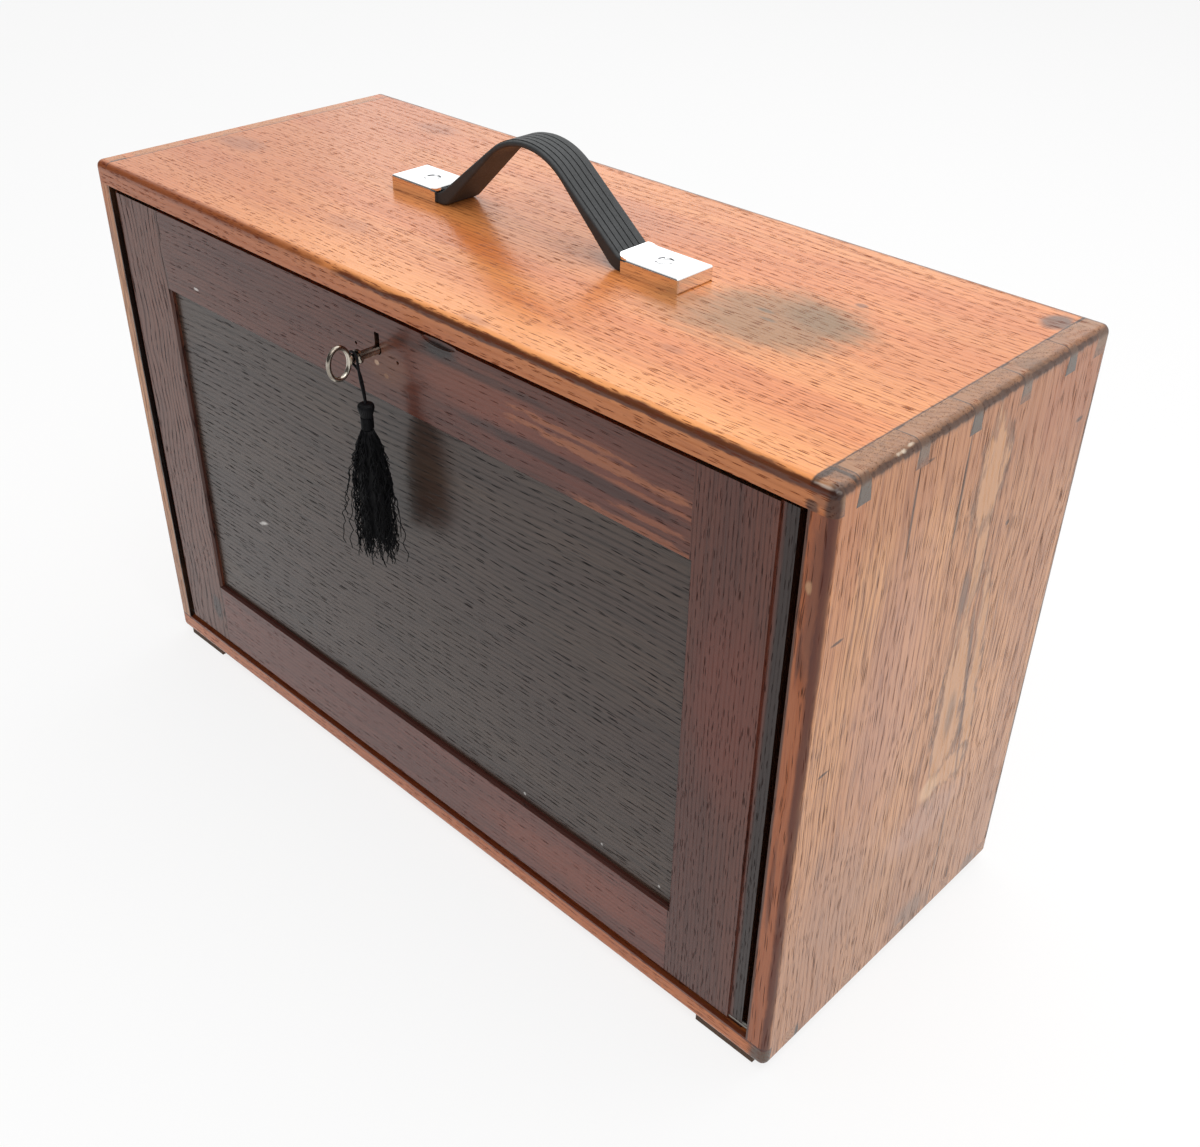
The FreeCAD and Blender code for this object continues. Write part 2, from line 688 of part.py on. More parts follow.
stileLeft = stile("door_stile_left", doorLeftX, "+", "leftStileWidth", "leftStepWidth", pinLeft)
stileRight = stile("door_stile_right", doorRightX, "-", "rightStileWidth", "rightStepWidth", pinRight)
bottomRail = cut("door_bottom_rail", bottomRailBlank, hingeCorner, openingBevel)

panelLowZ = f"({doorLowZ} + railWidth - panelGroove + panelPlay)"
panelHighZ = f"({doorTopZ} - railWidth + panelGroove - panelPlay)"
doorPanel = box("door_panel", (f"{railLowX} - panelGroove + panelPlay", grooveY, panelLowZ),
                (f"{railLength} + 2 * (panelGroove - panelPlay)", "panelThickness",
                 f"{panelHighZ} - {panelLowZ}"))


# Till lock in the back of the top rail, and the key that stands in it.
plateY = f"({doorBackY} - plateThickness)"
caseY = f"({plateY} - caseDepth)"
caseLowX = f"({keyX} - caseWidth / 2)"
caseLowZ = f"({doorTopZ} - caseHeight)"
slotRise = "(bitReach + keyholeSlotPlay)"

caseOuter = box("case_outer", (caseLowX, caseY, caseLowZ), ("caseWidth", "caseDepth", "caseHeight"))
caseInner = box("case_inner", (f"{caseLowX} + caseWall", f"{caseY} + caseWall", f"{caseLowZ} + caseWall"),
                ("caseWidth - 2 * caseWall", "caseDepth", "caseHeight - 2 * caseWall"))
boltWay = box("bolt_way", (f"{keyX} - boltWidth / 2 - boltPlay", f"{boltY} - boltPlay",
                           f"{doorTopZ} - caseWall - overrun"),
              ("boltWidth + 2 * boltPlay", "boltThickness + 2 * boltPlay", "caseWall + 2 * overrun"))
keyholeRound = rod("keyhole_round", (keyX, f"{doorFaceY} - overrun", keyZ), "Y",
                   f"{caseY} - {doorFaceY} + caseWall + 2 * overrun", "keyholeRadius")
keyholeSlot = box("keyhole_slot", (f"{keyX} - keyholeSlotWidth / 2", f"{doorFaceY} - overrun", keyZ),
                  ("keyholeSlotWidth", f"{caseY} - {doorFaceY} + caseWall + 2 * overrun", slotRise))
keyhole = joined("keyhole", keyholeRound, keyholeSlot)
lockCase = cut("lock_case", caseOuter, caseInner, boltWay, keyhole)


def lockScrew(name, x, z):
    shank = rod(f"{name}_shank", (x, f"{plateY} - lockScrewLength", z), "Y",
                "lockScrewLength", "lockScrewRadius")
    head = rod(f"{name}_head", (x, plateY, z), "Y", "plateThickness", "lockScrewHead")
    return joined(name, shank, head)


lockScrews = [lockScrew(f"lock_screw_{side}_{level}", x, z)
              for side, x in (("left", f"{caseLowX} - plateOverlap / 2"),
                              ("right", f"{caseLowX} + caseWidth + plateOverlap / 2"))
              for level, z in (("low", f"{caseLowZ} + plateOverlap / 2"),
                               ("high", f"{doorTopZ} - plateOverlap"))]
lockScrewGroup = grouped("lock_screws", *lockScrews)
plateBlank = box("plate_blank", (f"{caseLowX} - plateOverlap", plateY, f"{caseLowZ} - plateOverlap / 2"),
                 ("caseWidth + 2 * plateOverlap", "plateThickness", "caseHeight + plateOverlap / 2"))
lockPlate = cut("lock_plate", plateBlank, *lockScrews)

oldPins = [rod(f"old_pin_{side}", (f"{keyX} - oldPinShift {place}", f"{doorFaceY} - overrun",
                                   f"{keyZ} - oldPinDrop"), "Y", "oldPinDepth + overrun", "oldPinRadius")
           for side, place in (("left", "- oldPinSpread"), ("right", "+ oldPinSpread"))]
# Years of prising have worn a shallow scoop in the door's top edge, to the right of the lock.
wornScoop = doc.addObject("Part::Ellipsoid", "worn_scoop")
for radius, size in (("Radius1", "wornScoopHeight"), ("Radius2", "wornScoopLength / 2"),
                     ("Radius3", "wornScoopDepth")):
    wornScoop.setExpression(radius, bound(size))
placed(wornScoop, ("wornScoopRight", doorFaceY, doorTopZ))
topRail = cut("door_top_rail", topRailBlank, caseOuter, plateBlank, keyhole, wornScoop, openingBevel,
              *lockScrews, *oldPins)

boltLowZ = f"({keyZ} + bitReach + boltKeyClearance)"
lockBolt = box("lock_bolt", (f"{keyX} - boltWidth / 2", boltY, boltLowZ),
               ("boltWidth", "boltThickness", f"{doorTopZ} - boltTopDrop - {boltLowZ}"))

bowTipY = f"({frontY} - keyReach)"
bowRootY = f"({bowTipY} + 2 * bowHalfLength)"
shankEndY = f"({plateY} - keyholeSlotPlay)"
collarY = f"({bowRootY} + collarGap)"
shank = turned("key_shank", (keyX, "0", keyZ),
               [(f"{bowRootY} - bowWireRadius", "0"), (f"{bowRootY} - bowWireRadius", "shankRadius"),
                (collarY, "shankRadius"), (f"{collarY} + collarLength / 4", "collarRadius"),
                (f"{collarY} + 3 * collarLength / 4", "collarRadius"),
                (f"{collarY} + collarLength", "shankRadius"), (shankEndY, "shankRadius"),
                (shankEndY, "0")], "H_Axis")
bowPath = doc.addObject("Part::Ellipse", "bow_path")
bowPath.setExpression("MajorRadius", bound("bowHalfHeight - bowWireRadius"))
bowPath.setExpression("MinorRadius", bound("bowHalfLength - bowWireRadius"))
bowPath.Placement = Placement(Vector(), Rotation(Vector(0, 0, 1), Vector(0, 1, 0), Vector(1, 0, 0), "XZY"))
placed(bowPath, (keyX, f"{bowTipY} + bowHalfLength", keyZ))
bowSection = doc.addObject("Part::Circle", "bow_section")
bowSection.setExpression("Radius", bound("bowWireRadius"))
bowSection.Placement = Placement(Vector(), turns["Y"])
placed(bowSection, (keyX, f"{bowTipY} + bowHalfLength", f"{keyZ} + bowHalfHeight - bowWireRadius"))
bow = doc.addObject("Part::Sweep", "key_bow")
bow.Sections = [bowSection]
bow.Spine = (bowPath, ["Edge1"])
bow.Solid = True
bow.Frenet = True
bitY = f"({shankEndY} - bitWidth - shankRadius)"
bitBlank = box("bit_blank", (f"{keyX} - bitThickness / 2", bitY, keyZ),
               ("bitThickness", "bitWidth", "bitReach"))
bitWards = [box(f"bit_ward_{row}",
                (f"{keyX} - bitThickness", f"{bitY} + {place}", f"{keyZ} + 2 * bitReach / 3"),
                ("2 * bitThickness", "bitNotch", "bitReach / 3 + overrun"))
            for row, place in (("front", "bitNotch / 2"), ("back", "bitWidth - 3 * bitNotch / 2"))]
key = joined("key", shank, bow, cut("bit", bitBlank, *bitWards))


# Tassel: a cord hitched round the shank, a bound head and a skirt of threads.
cordY = f"({bowRootY} + collarGap / 2)"
tasselX = f"({keyX} + tasselLean)"
headTopZ = f"({keyZ} - tasselDrop)"


def cordLoop():
    """The cord's path: up from the head, over the shank and down again."""
    radius = number("shankRadius + cordClearance + cordRadius")
    centre = Vector(number(keyX), number(cordY), number(keyZ))
    feet = [Vector(number(f"{tasselX} {sign} cordSpread"), centre.y, number(headTopZ)) for sign in "-+"]

    def touch(foot, side):
        """Where the straight run from a foot meets the loop round the shank."""
        reach = foot - centre
        away = math.atan2(reach.z, reach.x) - side * math.acos(radius / reach.Length)
        return centre + Vector(radius * math.cos(away), 0, radius * math.sin(away))

    def seated(foot, end):
        """A foot drawn back along its run until the square end only touches the head."""
        run = (end - foot).normalize()
        return foot + run * (number("cordRadius") * abs(run.x) / run.z)

    left, right = touch(feet[0], 1), touch(feet[1], -1)
    over = centre + Vector(0, 0, radius)
    return Part.Wire([Part.LineSegment(seated(feet[0], left), left).toShape(),
                      Part.Arc(left, over, right).toShape(),
                      Part.LineSegment(right, seated(feet[1], right)).toShape()])


cordPath = cordLoop()
cordStart = cordPath.Edges[0]
heading = cordStart.tangentAt(cordStart.FirstParameter)
ring = Part.Wire(Part.makeCircle(number("cordRadius"), cordStart.valueAt(cordStart.FirstParameter), heading))
tasselCord = doc.addObject("Part::Feature", "tassel_cord")
tasselCord.Shape = cordPath.makePipeShell([ring], True, True)
print("cord length", round(cordPath.Length, 1), "volume over section times length",
      round(tasselCord.Shape.Volume / (math.pi * number("cordRadius") ** 2 * cordPath.Length), 4))

tasselHead = turned("tassel_head", (tasselX, cordY, headTopZ),
                    [("0", "0"), ("headRadius / 2", "0"), ("headRadius", "-headLength / 4"),
                     ("headRadius", "-headLength * 3 / 5"), ("neckRadius", "-headLength"),
                     ("neckRadius", "-headLength - neckLength"), ("0", "-headLength - neckLength")], "V_Axis")


def ellipse(name, z, halfWidth, halfDepth):
    item = doc.addObject("Part::Ellipse", name)
    item.setExpression("MajorRadius", bound(halfWidth))
    item.setExpression("MinorRadius", bound(halfDepth))
    return placed(item, (tasselX, cordY, z))


skirtTopZ = f"({headTopZ} - headLength - neckLength)"
tasselSkirt = doc.addObject("Part::Loft", "tassel_skirt")
tasselSkirt.Sections = [
    ellipse("skirt_top", skirtTopZ, "neckRadius * 1.001", "neckRadius"),
    ellipse("skirt_hem", f"{skirtTopZ} - skirtLength", "skirtHalfWidth", "skirtHalfDepth")]
tasselSkirt.Solid = True
tasselSkirt.Ruled = True


# Drawers. A wide one hangs on a runner in a groove of each side; the three small
# ones slide on the upper shelf. Each is four nodes: front, sides with the back,
# bottom and knobs.
knobPoints = [("knobLength", "0"), ("knobLength", "knobFootRadius"), ("knobLength * 5 / 6", "knobFootRadius"),
              ("knobLength / 2", "knobNeckRadius"), ("knobLength * 5 / 12", "knobRadius * 9 / 10"),
              ("knobLength / 4", "knobRadius"), ("knobLength / 12", "knobRadius * 5 / 6"),
              ("0", "knobRadius / 2"), ("0", "0")]
runners = []
nodes = [topBoard, bottomBoard, leftSide, rightSide, backPanel, stowShelf, upperShelf, dividerLeft,
         dividerRight, feet, capLeft, capRight, handleStrap, handleScrews, strikePlate,
         stileLeft, stileRight, topRail, bottomRail, doorPanel, doorPins, lockCase, lockPlate,
         lockScrewGroup, key, lockBolt, tasselCord, tasselHead, tasselSkirt]


def drawer(name, lowX, width, lowZ, height, knobs, onRunners):
    front = box(f"{name}_face", (lowX, drawerFaceY, lowZ), (width, "drawerFrontThickness", height))
    bottomY = f"{drawerFaceY} + drawerFrontThickness - drawerBottomGroove"
    bottomLowX = f"{lowX} + drawerSideThickness - drawerBottomGroove"
    bottom = box(f"{name}_bottom", (bottomLowX, bottomY, f"{lowZ} + drawerBottomLift"),
                 (f"{width} - 2 * (drawerSideThickness - drawerBottomGroove)",
                  f"{drawerEndY} - ({bottomY})", "drawerBottomThickness"))
    sideY = f"({drawerFaceY} + drawerFrontThickness)"
    walls = []
    for side, x in (("left", lowX), ("right", f"{lowX} + {width} - drawerSideThickness")):
        wall = box(f"{name}_wall_{side}", (x, sideY, lowZ),
                   ("drawerSideThickness", f"{drawerEndY} - {sideY}", f"{height} - drawerEdgeDrop"))
        tools = [bottom]
        if onRunners:
            sign = "-" if side == "left" else ""
            edge = f"{sign}{innerX}" if side == "left" else f"{innerX} - drawerSideGap - runnerGrip"
            runnerZ = f"{lowZ} + {height} * {runnerPlaceShare}"
            runner = box(f"{name}_runner_{side}", (edge, f"{sideY} + runnerPlay", runnerZ),
                         ("drawerSideGap + runnerGrip", f"{backInnerY} - {sideY} - runnerPlay",
                          "runnerHeight"))
            runners.append(runner)
            grooveX = (f"{lowX} - overrun" if side == "left"
                       else f"{lowX} + {width} - runnerGrip - runnerPlay")
            groove = box(f"{name}_groove_{side}", (grooveX, f"{sideY} - overrun", f"{runnerZ} - runnerPlay"),
                         ("runnerGrip + runnerPlay + overrun", f"{drawerEndY} - {sideY} + 2 * overrun",
                          "runnerHeight + 2 * runnerPlay"))
            tools.append(groove)
        walls.append(cut(f"{name}_side_{side}", wall, *tools))
    backBoard = box(f"{name}_back", (f"{lowX} + drawerSideThickness", f"{drawerEndY} - drawerSideThickness",
                                     f"{lowZ} + drawerBottomLift + drawerBottomThickness"),
                    (f"{width} - 2 * drawerSideThickness", "drawerSideThickness",
                     f"{height} - drawerEdgeDrop - drawerBottomLift - drawerBottomThickness"))
    turnedKnobs = [turned(f"{name}_knob_{index}", (f"{lowX} + {width} / 2 {place}",
                                                   f"{drawerFaceY} - knobLength", f"{lowZ} + {height} / 2"),
                          knobPoints, "H_Axis")
                   for index, place in enumerate(knobs)]
    nodes.extend([cut(f"{name}_front", front, bottom), grouped(f"{name}_sides", *walls, backBoard), bottom,
                  grouped(f"{name}_knobs", *turnedKnobs)])


wideX, wideWidth = f"(drawerSideGap - {innerX})", f"(2 * ({innerX} - drawerSideGap))"
pair = [f"- {knobPlaceShare} * {wideWidth}", f"+ {knobPlaceShare} * {wideWidth}"]
drawer("bottom_drawer", wideX, wideWidth, bottomDrawerZ, bottomDrawerHeight, pair, True)
drawer("fourth_drawer", wideX, wideWidth, fourthDrawerZ, fourthDrawerHeight, pair, True)
drawer("third_drawer", wideX, wideWidth, thirdDrawerZ, thirdDrawerHeight, pair, True)
drawer("second_drawer", wideX, wideWidth, secondDrawerZ, secondDrawerHeight, pair, True)

smallWidth = f"({dividerPitch} - dividerThickness - 2 * drawerSideGap)"
for name, middle in (("top_drawer_left", f"-{dividerPitch}"), ("top_drawer_middle", "0"),
                     ("top_drawer_right", dividerPitch)):
    drawer(name, f"({middle} - {smallWidth} / 2)", smallWidth, topDrawerZ, topDrawerHeight, [""], False)

nodes.append(grouped("drawer_runners", *runners))

doc.recompute()
failed = [item.Name for item in doc.Objects if "Invalid" in item.State or "Error" in item.State]
if failed:
    raise RuntimeError(f"objects that failed: {failed}")
os.makedirs("parts", exist_ok=True)
for node in nodes:
    node.Label = node.Name
    shape = node.Shape
    if shape.isNull() or not shape.isValid() or not shape.Solids:
        raise RuntimeError(f"{node.Name} has no valid solid")
    shape.exportStep(os.path.join("parts", f"{node.Label}.step"))
print(len(nodes), "nodes written")
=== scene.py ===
import math
import random

import bpy
from mathutils import Matrix, Vector


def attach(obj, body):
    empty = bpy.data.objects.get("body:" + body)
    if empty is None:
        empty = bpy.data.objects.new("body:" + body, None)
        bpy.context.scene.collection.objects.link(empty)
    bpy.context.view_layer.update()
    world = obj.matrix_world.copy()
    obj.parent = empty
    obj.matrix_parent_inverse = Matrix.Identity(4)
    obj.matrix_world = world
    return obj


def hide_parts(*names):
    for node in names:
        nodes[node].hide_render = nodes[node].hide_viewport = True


# A dovetailed oak tool chest: finishes over its CAD solids, and a tassel of threads on its key
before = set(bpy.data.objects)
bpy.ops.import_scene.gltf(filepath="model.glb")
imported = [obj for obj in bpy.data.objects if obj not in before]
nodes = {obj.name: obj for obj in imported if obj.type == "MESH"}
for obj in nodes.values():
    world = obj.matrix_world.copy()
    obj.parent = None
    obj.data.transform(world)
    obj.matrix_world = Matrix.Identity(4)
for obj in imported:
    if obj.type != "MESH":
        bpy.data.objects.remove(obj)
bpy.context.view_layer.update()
scene = bpy.context.scene
mm = 0.001
print("frame loaded,", len(nodes), "nodes")


# Camera

viewpoint = {
    "place": (0.4728, -0.4387, 0.5658),  # metres: in front of the right end and above it
    "turn": 43.40, "down": 34.24, "roll": 1.03,  # degrees: left of straight back, below level, about its own axis
    "lens": 40.8,  # mm
    "sensor": 36,  # mm wide
}
cameraData = bpy.data.cameras.new("camera")
cameraData.lens = viewpoint["lens"]
cameraData.sensor_width = viewpoint["sensor"]
camera = bpy.data.objects.new("camera", cameraData)
scene.collection.objects.link(camera)
camera.matrix_world = (
    Matrix.Translation(viewpoint["place"])
    @ Matrix.Rotation(math.radians(viewpoint["turn"]), 4, "Z")
    @ Matrix.Rotation(math.radians(90 - viewpoint["down"]), 4, "X")
    @ Matrix.Rotation(math.radians(viewpoint["roll"]), 4, "Z"))
scene.camera = camera
print("camera set")


# Tools for meshes and materials

def linear(hexColour):
    # an sRGB hex value as linear red, green, blue and full alpha
    parts = [int(hexColour[i:i + 2], 16) / 255 for i in (1, 3, 5)]
    return tuple(c / 12.92 if c <= 0.04045 else ((c + 0.055) / 1.055) ** 2.4 for c in parts) + (1,)


smooth = {"interpolation_type": "SMOOTHSTEP"}
multiply = {"operation": "MULTIPLY"}
multiplyAdd = {"operation": "MULTIPLY_ADD"}
colourMix = {"data_type": "RGBA"}  # a Mix node's two colours are inputs 6 and 7, and the mixed one is output 2


def addNode(tree, kind, settings=None, inputs=None, output=0):
    # adds a node, links or sets its inputs, and gives one of its outputs
    node = tree.nodes.new(kind)
    for name, value in (settings or {}).items():
        setattr(node, name, value)
    for name, value in (inputs or {}).items():
        if isinstance(value, bpy.types.NodeSocket):
            tree.links.new(value, node.inputs[name])
        else:
            node.inputs[name].default_value = value
    return node.outputs[output]


def newMaterial(name, shaderInputs):
    # a material, with its node tree and its Principled shader
    material = bpy.data.materials.new(name)
    material.use_nodes = True
    shader = material.node_tree.nodes["Principled BSDF"]
    for socket, value in shaderInputs.items():
        shader.inputs[socket].default_value = value
    return material, material.node_tree, shader


def meshPiece(name, vertices, faces, material):
    # a smooth mesh object of one material
    mesh = bpy.data.meshes.new(name)
    mesh.from_pydata(vertices, [], faces)
    mesh.validate()
    mesh.shade_smooth()
    mesh.materials.append(material)
    piece = bpy.data.objects.new(name, mesh)
    scene.collection.objects.link(piece)
    return piece


def closedTube(sides, rows, start=0, downward=False):
    # faces round rows of vertices, with a cap at each end; rows that go down are wound the other way
    faces = []
    for row in range(rows - 1):
        for side in range(sides):
            a = start + row * sides + side
            b = start + row * sides + (side + 1) % sides
            faces.append((b, a, a + sides, b + sides) if downward else (a, b, b + sides, a + sides))
    first = tuple(range(start, start + sides))
    last = tuple(range(start + (rows - 1) * sides, start + rows * sides))
    return faces + ([first, last[::-1]] if downward else [first[::-1], last])


def threadMesh(lines, radii, sides):
    # round threads along lists of points, tapering from the first radius to the second
    lean = Vector((0.3, 1, 0.1))  # any direction that no thread runs in
    vertices, faces = [], []
    for line in lines:
        start = len(vertices)
        for row, centre in enumerate(line):
            ahead = line[min(row + 1, len(line) - 1)] - line[max(row - 1, 0)]
            across = ahead.cross(lean).normalized()
            up = ahead.cross(across).normalized()
            radius = radii[0] + (radii[1] - radii[0]) * row / (len(line) - 1)
            for side in range(sides):
                angle = 2 * math.pi * side / sides
                vertices.append(centre + radius * (math.cos(angle) * across + math.sin(angle) * up))
        faces += closedTube(sides, len(line), start)
    return vertices, faces


def finish(material, *nodeNames):
    # gives CAD nodes a material
    for nodeName in nodeNames:
        mesh = nodes[nodeName].data
        mesh.materials.clear()
        mesh.materials.append(material)


# Tassel cord: one black cord hitched round the key's shank, both ends into the tassel's head

cord = {
    "key": (-7.0, -100.2, 292.0),  # mm, the shank's centre where the cord crosses it
    "head": (-0.6, 271.5),  # x and z of the head's top
    "diameter": 1.3,
    "length": 54.9,
}


def tasselCord(material):
    x, y, z = cord["key"]
    headX, headZ = cord["head"]
    route = [(headX - 0.7, y + 0.6, headZ), (headX - 1.3, y + 0.7, headZ + 5.5),
             (headX - 2.6, y + 0.7, headZ + 12.0), (x + 1.8, y + 0.6, z - 4.4), (x - 3.1, y + 0.4, z - 2.8),
             (x - 3.3, y + 0.2, z + 3.2), (x + 3.2, y - 0.2, z + 3.3), (x + 3.8, y - 0.5, z - 3.0),
             (headX - 1.5, y - 0.7, headZ + 10.5), (headX + 0.1, y - 0.7, headZ + 5.0),
             (headX + 0.7, y - 0.6, headZ)]
    curve = bpy.data.curves.new("tasselCord", "CURVE")
    curve.dimensions = "3D"
    curve.bevel_depth = cord["diameter"] / 2 * mm
    curve.bevel_resolution = 4
    curve.resolution_u = 12
    spline = curve.splines.new("NURBS")
    spline.points.add(len(route) - 1)
    for point, (across, deep, up) in zip(spline.points, route):
        point.co = (across * mm, deep * mm, up * mm, 1)
    spline.order_u = 3
    spline.use_endpoint_u = True
    curve.materials.append(material)
    piece = bpy.data.objects.new("tasselCord", curve)
    scene.collection.objects.link(piece)
    return piece, [size * mm for size in route[0]]


# Rayon, spun and dyed black: a silky thread, with small bright glints along it painted into its colour as highlights.
# Its strands are drawn 0.5 mm wide, coarser than real filaments, so that they show.
threadLook = {"colour": "#050506", "shine": "#16161a", "roughness": 0.45, "specular": 0.12, "strandWidth": 0.5,
              "strandLength": 3.0, "glints": {1: 0.45, 2: 0.75}, "bump": 0.4, "bumpDepth": 0.1}


def threadFinish():
    look = threadLook
    material, tree, shader = newMaterial("black rayon thread", {
        "Roughness": look["roughness"], "Specular IOR Level": look["specular"]})
    place = addNode(tree, "ShaderNodeTexCoord", output="Object")
    long, wide = 1 / (look["strandLength"] * mm), 1 / (look["strandWidth"] * mm)
    drawn = addNode(tree, "ShaderNodeVectorMath", multiply, {0: place, 1: (wide, wide, long)})
    grain = addNode(tree, "ShaderNodeTexNoise", {}, {"Vector": drawn, "Scale": 1, "Detail": 2})
    # painted highlights: the shine colour where the strands' noise is high
    glint = addNode(tree, "ShaderNodeMapRange", {}, {0: grain, **look["glints"]})
    colour = addNode(tree, "ShaderNodeMix", colourMix,
                     {0: glint, 6: linear(look["colour"]), 7: linear(look["shine"])}, 2)
    tree.links.new(colour, shader.inputs["Base Color"])
    bump = addNode(tree, "ShaderNodeBump", {}, {
        "Height": grain, "Strength": look["bump"], "Distance": look["bumpDepth"] * mm})
    tree.links.new(bump, shader.inputs["Normal"])
    return material


thread = threadFinish()
cordPiece, cordExit = tasselCord(thread)
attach(cordPiece, "tassel")
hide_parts("tassel_cord")


# Tassel head: a ball of folded threads over a neck bound with a winding

head = {
    "radius": 4.1, "length": 7.0,  # mm
    "outline": ((0, 0.3), (0.03, 0.62), (0.1, 0.87), (0.22, 0.99), (0.36, 1), (0.55, 0.93), (0.8, 0.79),
                (1, 0.7)),  # shares of the length down and of the radius out
    "neckRadius": 2.9, "neckLength": 6.5, "neckInset": 0.2,
    "ridges": 26, "sidesPerRidge": 6, "ridgeDepth": 0.2, "ridgeFade": 3.0,  # ridges die out inside this radius
    "turns": 13, "windingRadius": 0.27, "windingMargin": 0.3, "stepsPerTurn": 20, "windingSides": 6,
}


def tasselHead():
    x, y, headZ = cord["head"][0], cord["key"][1], cord["head"][1]
    outline = [(head["radius"] * out, headZ - head["length"] * down) for down, out in head["outline"]]
    outline.append((head["neckRadius"] - head["neckInset"], headZ - head["length"] - head["neckLength"]))
    sides, vertices = head["ridges"] * head["sidesPerRidge"], []
    for radius, z in outline:
        for side in range(sides):
            angle = 2 * math.pi * side / sides
            height = head["ridgeDepth"] * min(1, radius / head["ridgeFade"])
            out = radius - head["ridgeDepth"] + height * abs(math.sin(angle * head["ridges"] / 2))
            vertices.append(Vector((x + out * math.cos(angle), y + out * math.sin(angle), z)) * mm)
    ball = meshPiece("tasselHead", vertices, closedTube(sides, len(outline), downward=True), thread)
    steps = head["turns"] * head["stepsPerTurn"]
    highest = headZ - head["length"] - head["windingMargin"]
    winding = []
    for step in range(steps + 1):
        angle = 2 * math.pi * step / head["stepsPerTurn"]
        z = highest - (head["neckLength"] - 2 * head["windingMargin"]) * step / steps
        winding.append(Vector((x + head["neckRadius"] * math.cos(angle), y + head["neckRadius"] * math.sin(angle),
                               z)) * mm)
    radii = [head["windingRadius"] * mm] * 2
    wound = meshPiece("tasselBinding", *threadMesh([winding], radii, head["windingSides"]), thread)
    return ball, wound


ball, wound = tasselHead()
for piece in (ball, wound):
    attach(piece, "tassel")
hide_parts("tassel_head")


# Tassel skirt: crinkled threads that part into tufts at the hem, round a core that fills it

skirt = {
    "seed": 7,
    "top": 258.2, "length": 74.5,  # mm
    "halfWidth": 13.6, "halfDepth": 8.8,  # at the hem
    "threads": 165, "threadRadius": 0.3, "tipRadius": 0.22, "sides": 5, "rows": 26,
    "spacing": 2.399963,  # radians from one thread to the next, the golden angle
    "neckInset": 0.45,  # threads leave the neck this far inside it,
    "outerReach": 9,  # and nearer its middle if their hem is less than this from the middle
    "early": 4.5,  # how soon below the neck a thread reaches its place
    "crinkle": 1.05, "deepCrinkle": 0.7,  # sideways, and the share of it to the front and back
    "crinkleGrowth": 6,  # so it is full after a sixth of the way down
    "waves": (6, 11), "sway": 6.3, "jog": 4.3,  # mm from crest to crest, and radians of each wave in that length
    "tufts": 9, "gathered": 0.45,  # a thread moves this share of the way to the middle of its tuft
    "reach": (0.86, 1.0), "inner": 0.1,  # shares of the hem's size, and of its area left empty in the middle
    "shortest": 0.93, "uneven": 0.06,  # shares of the length, thread by thread and tuft by tuft
    "tuftWave": 3.1, "tuftPhase": 0.6,  # radians, which set the tufts' lengths apart
    "strays": ((-15.5, -9.5, 68), (-14.5, -6.0, 72), (14.8, 6.2, 73), (14.0, 4.0, 56), (-13.8, -7.5, 52),
               (13.5, -3.0, 66)),  # hem of each stray thread, right and back of the middle, and its length
    "strayEarly": 1.7,
}
core = {"sides": 40, "rows": 14, "length": 0.8, "width": 0.56,  # shares of the skirt's
        "narrowing": 0.4, "narrowingPower": 5,  # the share that the foot is narrower by, and how late
        "neckRadius": 2.4, "folds": 9, "foldDepth": 0.12, "foldTwist": 2}


def skirtLine(hem, length, rng, early):
    # one thread: it leaves the neck, opens to its place at the hem and wanders on the way
    x, y = cord["head"][0], cord["key"][1]
    wave, turn = rng.uniform(*skirt["waves"]), rng.uniform(0, skirt["sway"])
    reach = math.hypot(*hem)
    start = (head["neckRadius"] - skirt["neckInset"]) * min(1, reach / skirt["outerReach"]) / max(reach, 0.1)
    points = []
    for row in range(skirt["rows"] + 1):
        down = row / skirt["rows"]
        spread = 1 - (1 - down) ** early
        share = start * (1 - spread) + spread
        crinkle = skirt["crinkle"] * min(1, down * skirt["crinkleGrowth"])
        sway = crinkle * math.sin(turn + down * length / wave * skirt["sway"])
        jog = crinkle * skirt["deepCrinkle"] * math.cos(turn * 2 + down * length / wave * skirt["jog"])
        points.append(Vector((x + hem[0] * share + sway, y + hem[1] * share + jog, skirt["top"] - length * down)) * mm)
    return points


def tasselSkirt():
    rng = random.Random(skirt["seed"])
    lines = []
    for index in range(skirt["threads"]):
        angle = skirt["spacing"] * index
        tuft = round(angle / (2 * math.pi) * skirt["tufts"]) * 2 * math.pi / skirt["tufts"]
        angle += (tuft - angle) * skirt["gathered"]
        reach = math.sqrt(rng.uniform(skirt["inner"], 1)) * rng.uniform(*skirt["reach"])
        tuftLength = skirt["shortest"] + skirt["uneven"] * math.sin(skirt["tuftWave"] * tuft + skirt["tuftPhase"])
        length = skirt["length"] * tuftLength * rng.uniform(skirt["shortest"], 1)
        hem = (reach * skirt["halfWidth"] * math.cos(angle), reach * skirt["halfDepth"] * math.sin(angle))
        lines.append(skirtLine(hem, length, rng, skirt["early"]))
    for right, back, length in skirt["strays"]:
        lines.append(skirtLine((right, back), length, rng, skirt["strayEarly"]))
    radii = [skirt["threadRadius"] * mm, skirt["tipRadius"] * mm]
    return meshPiece("tasselSkirt", *threadMesh(lines, radii, skirt["sides"]), thread)


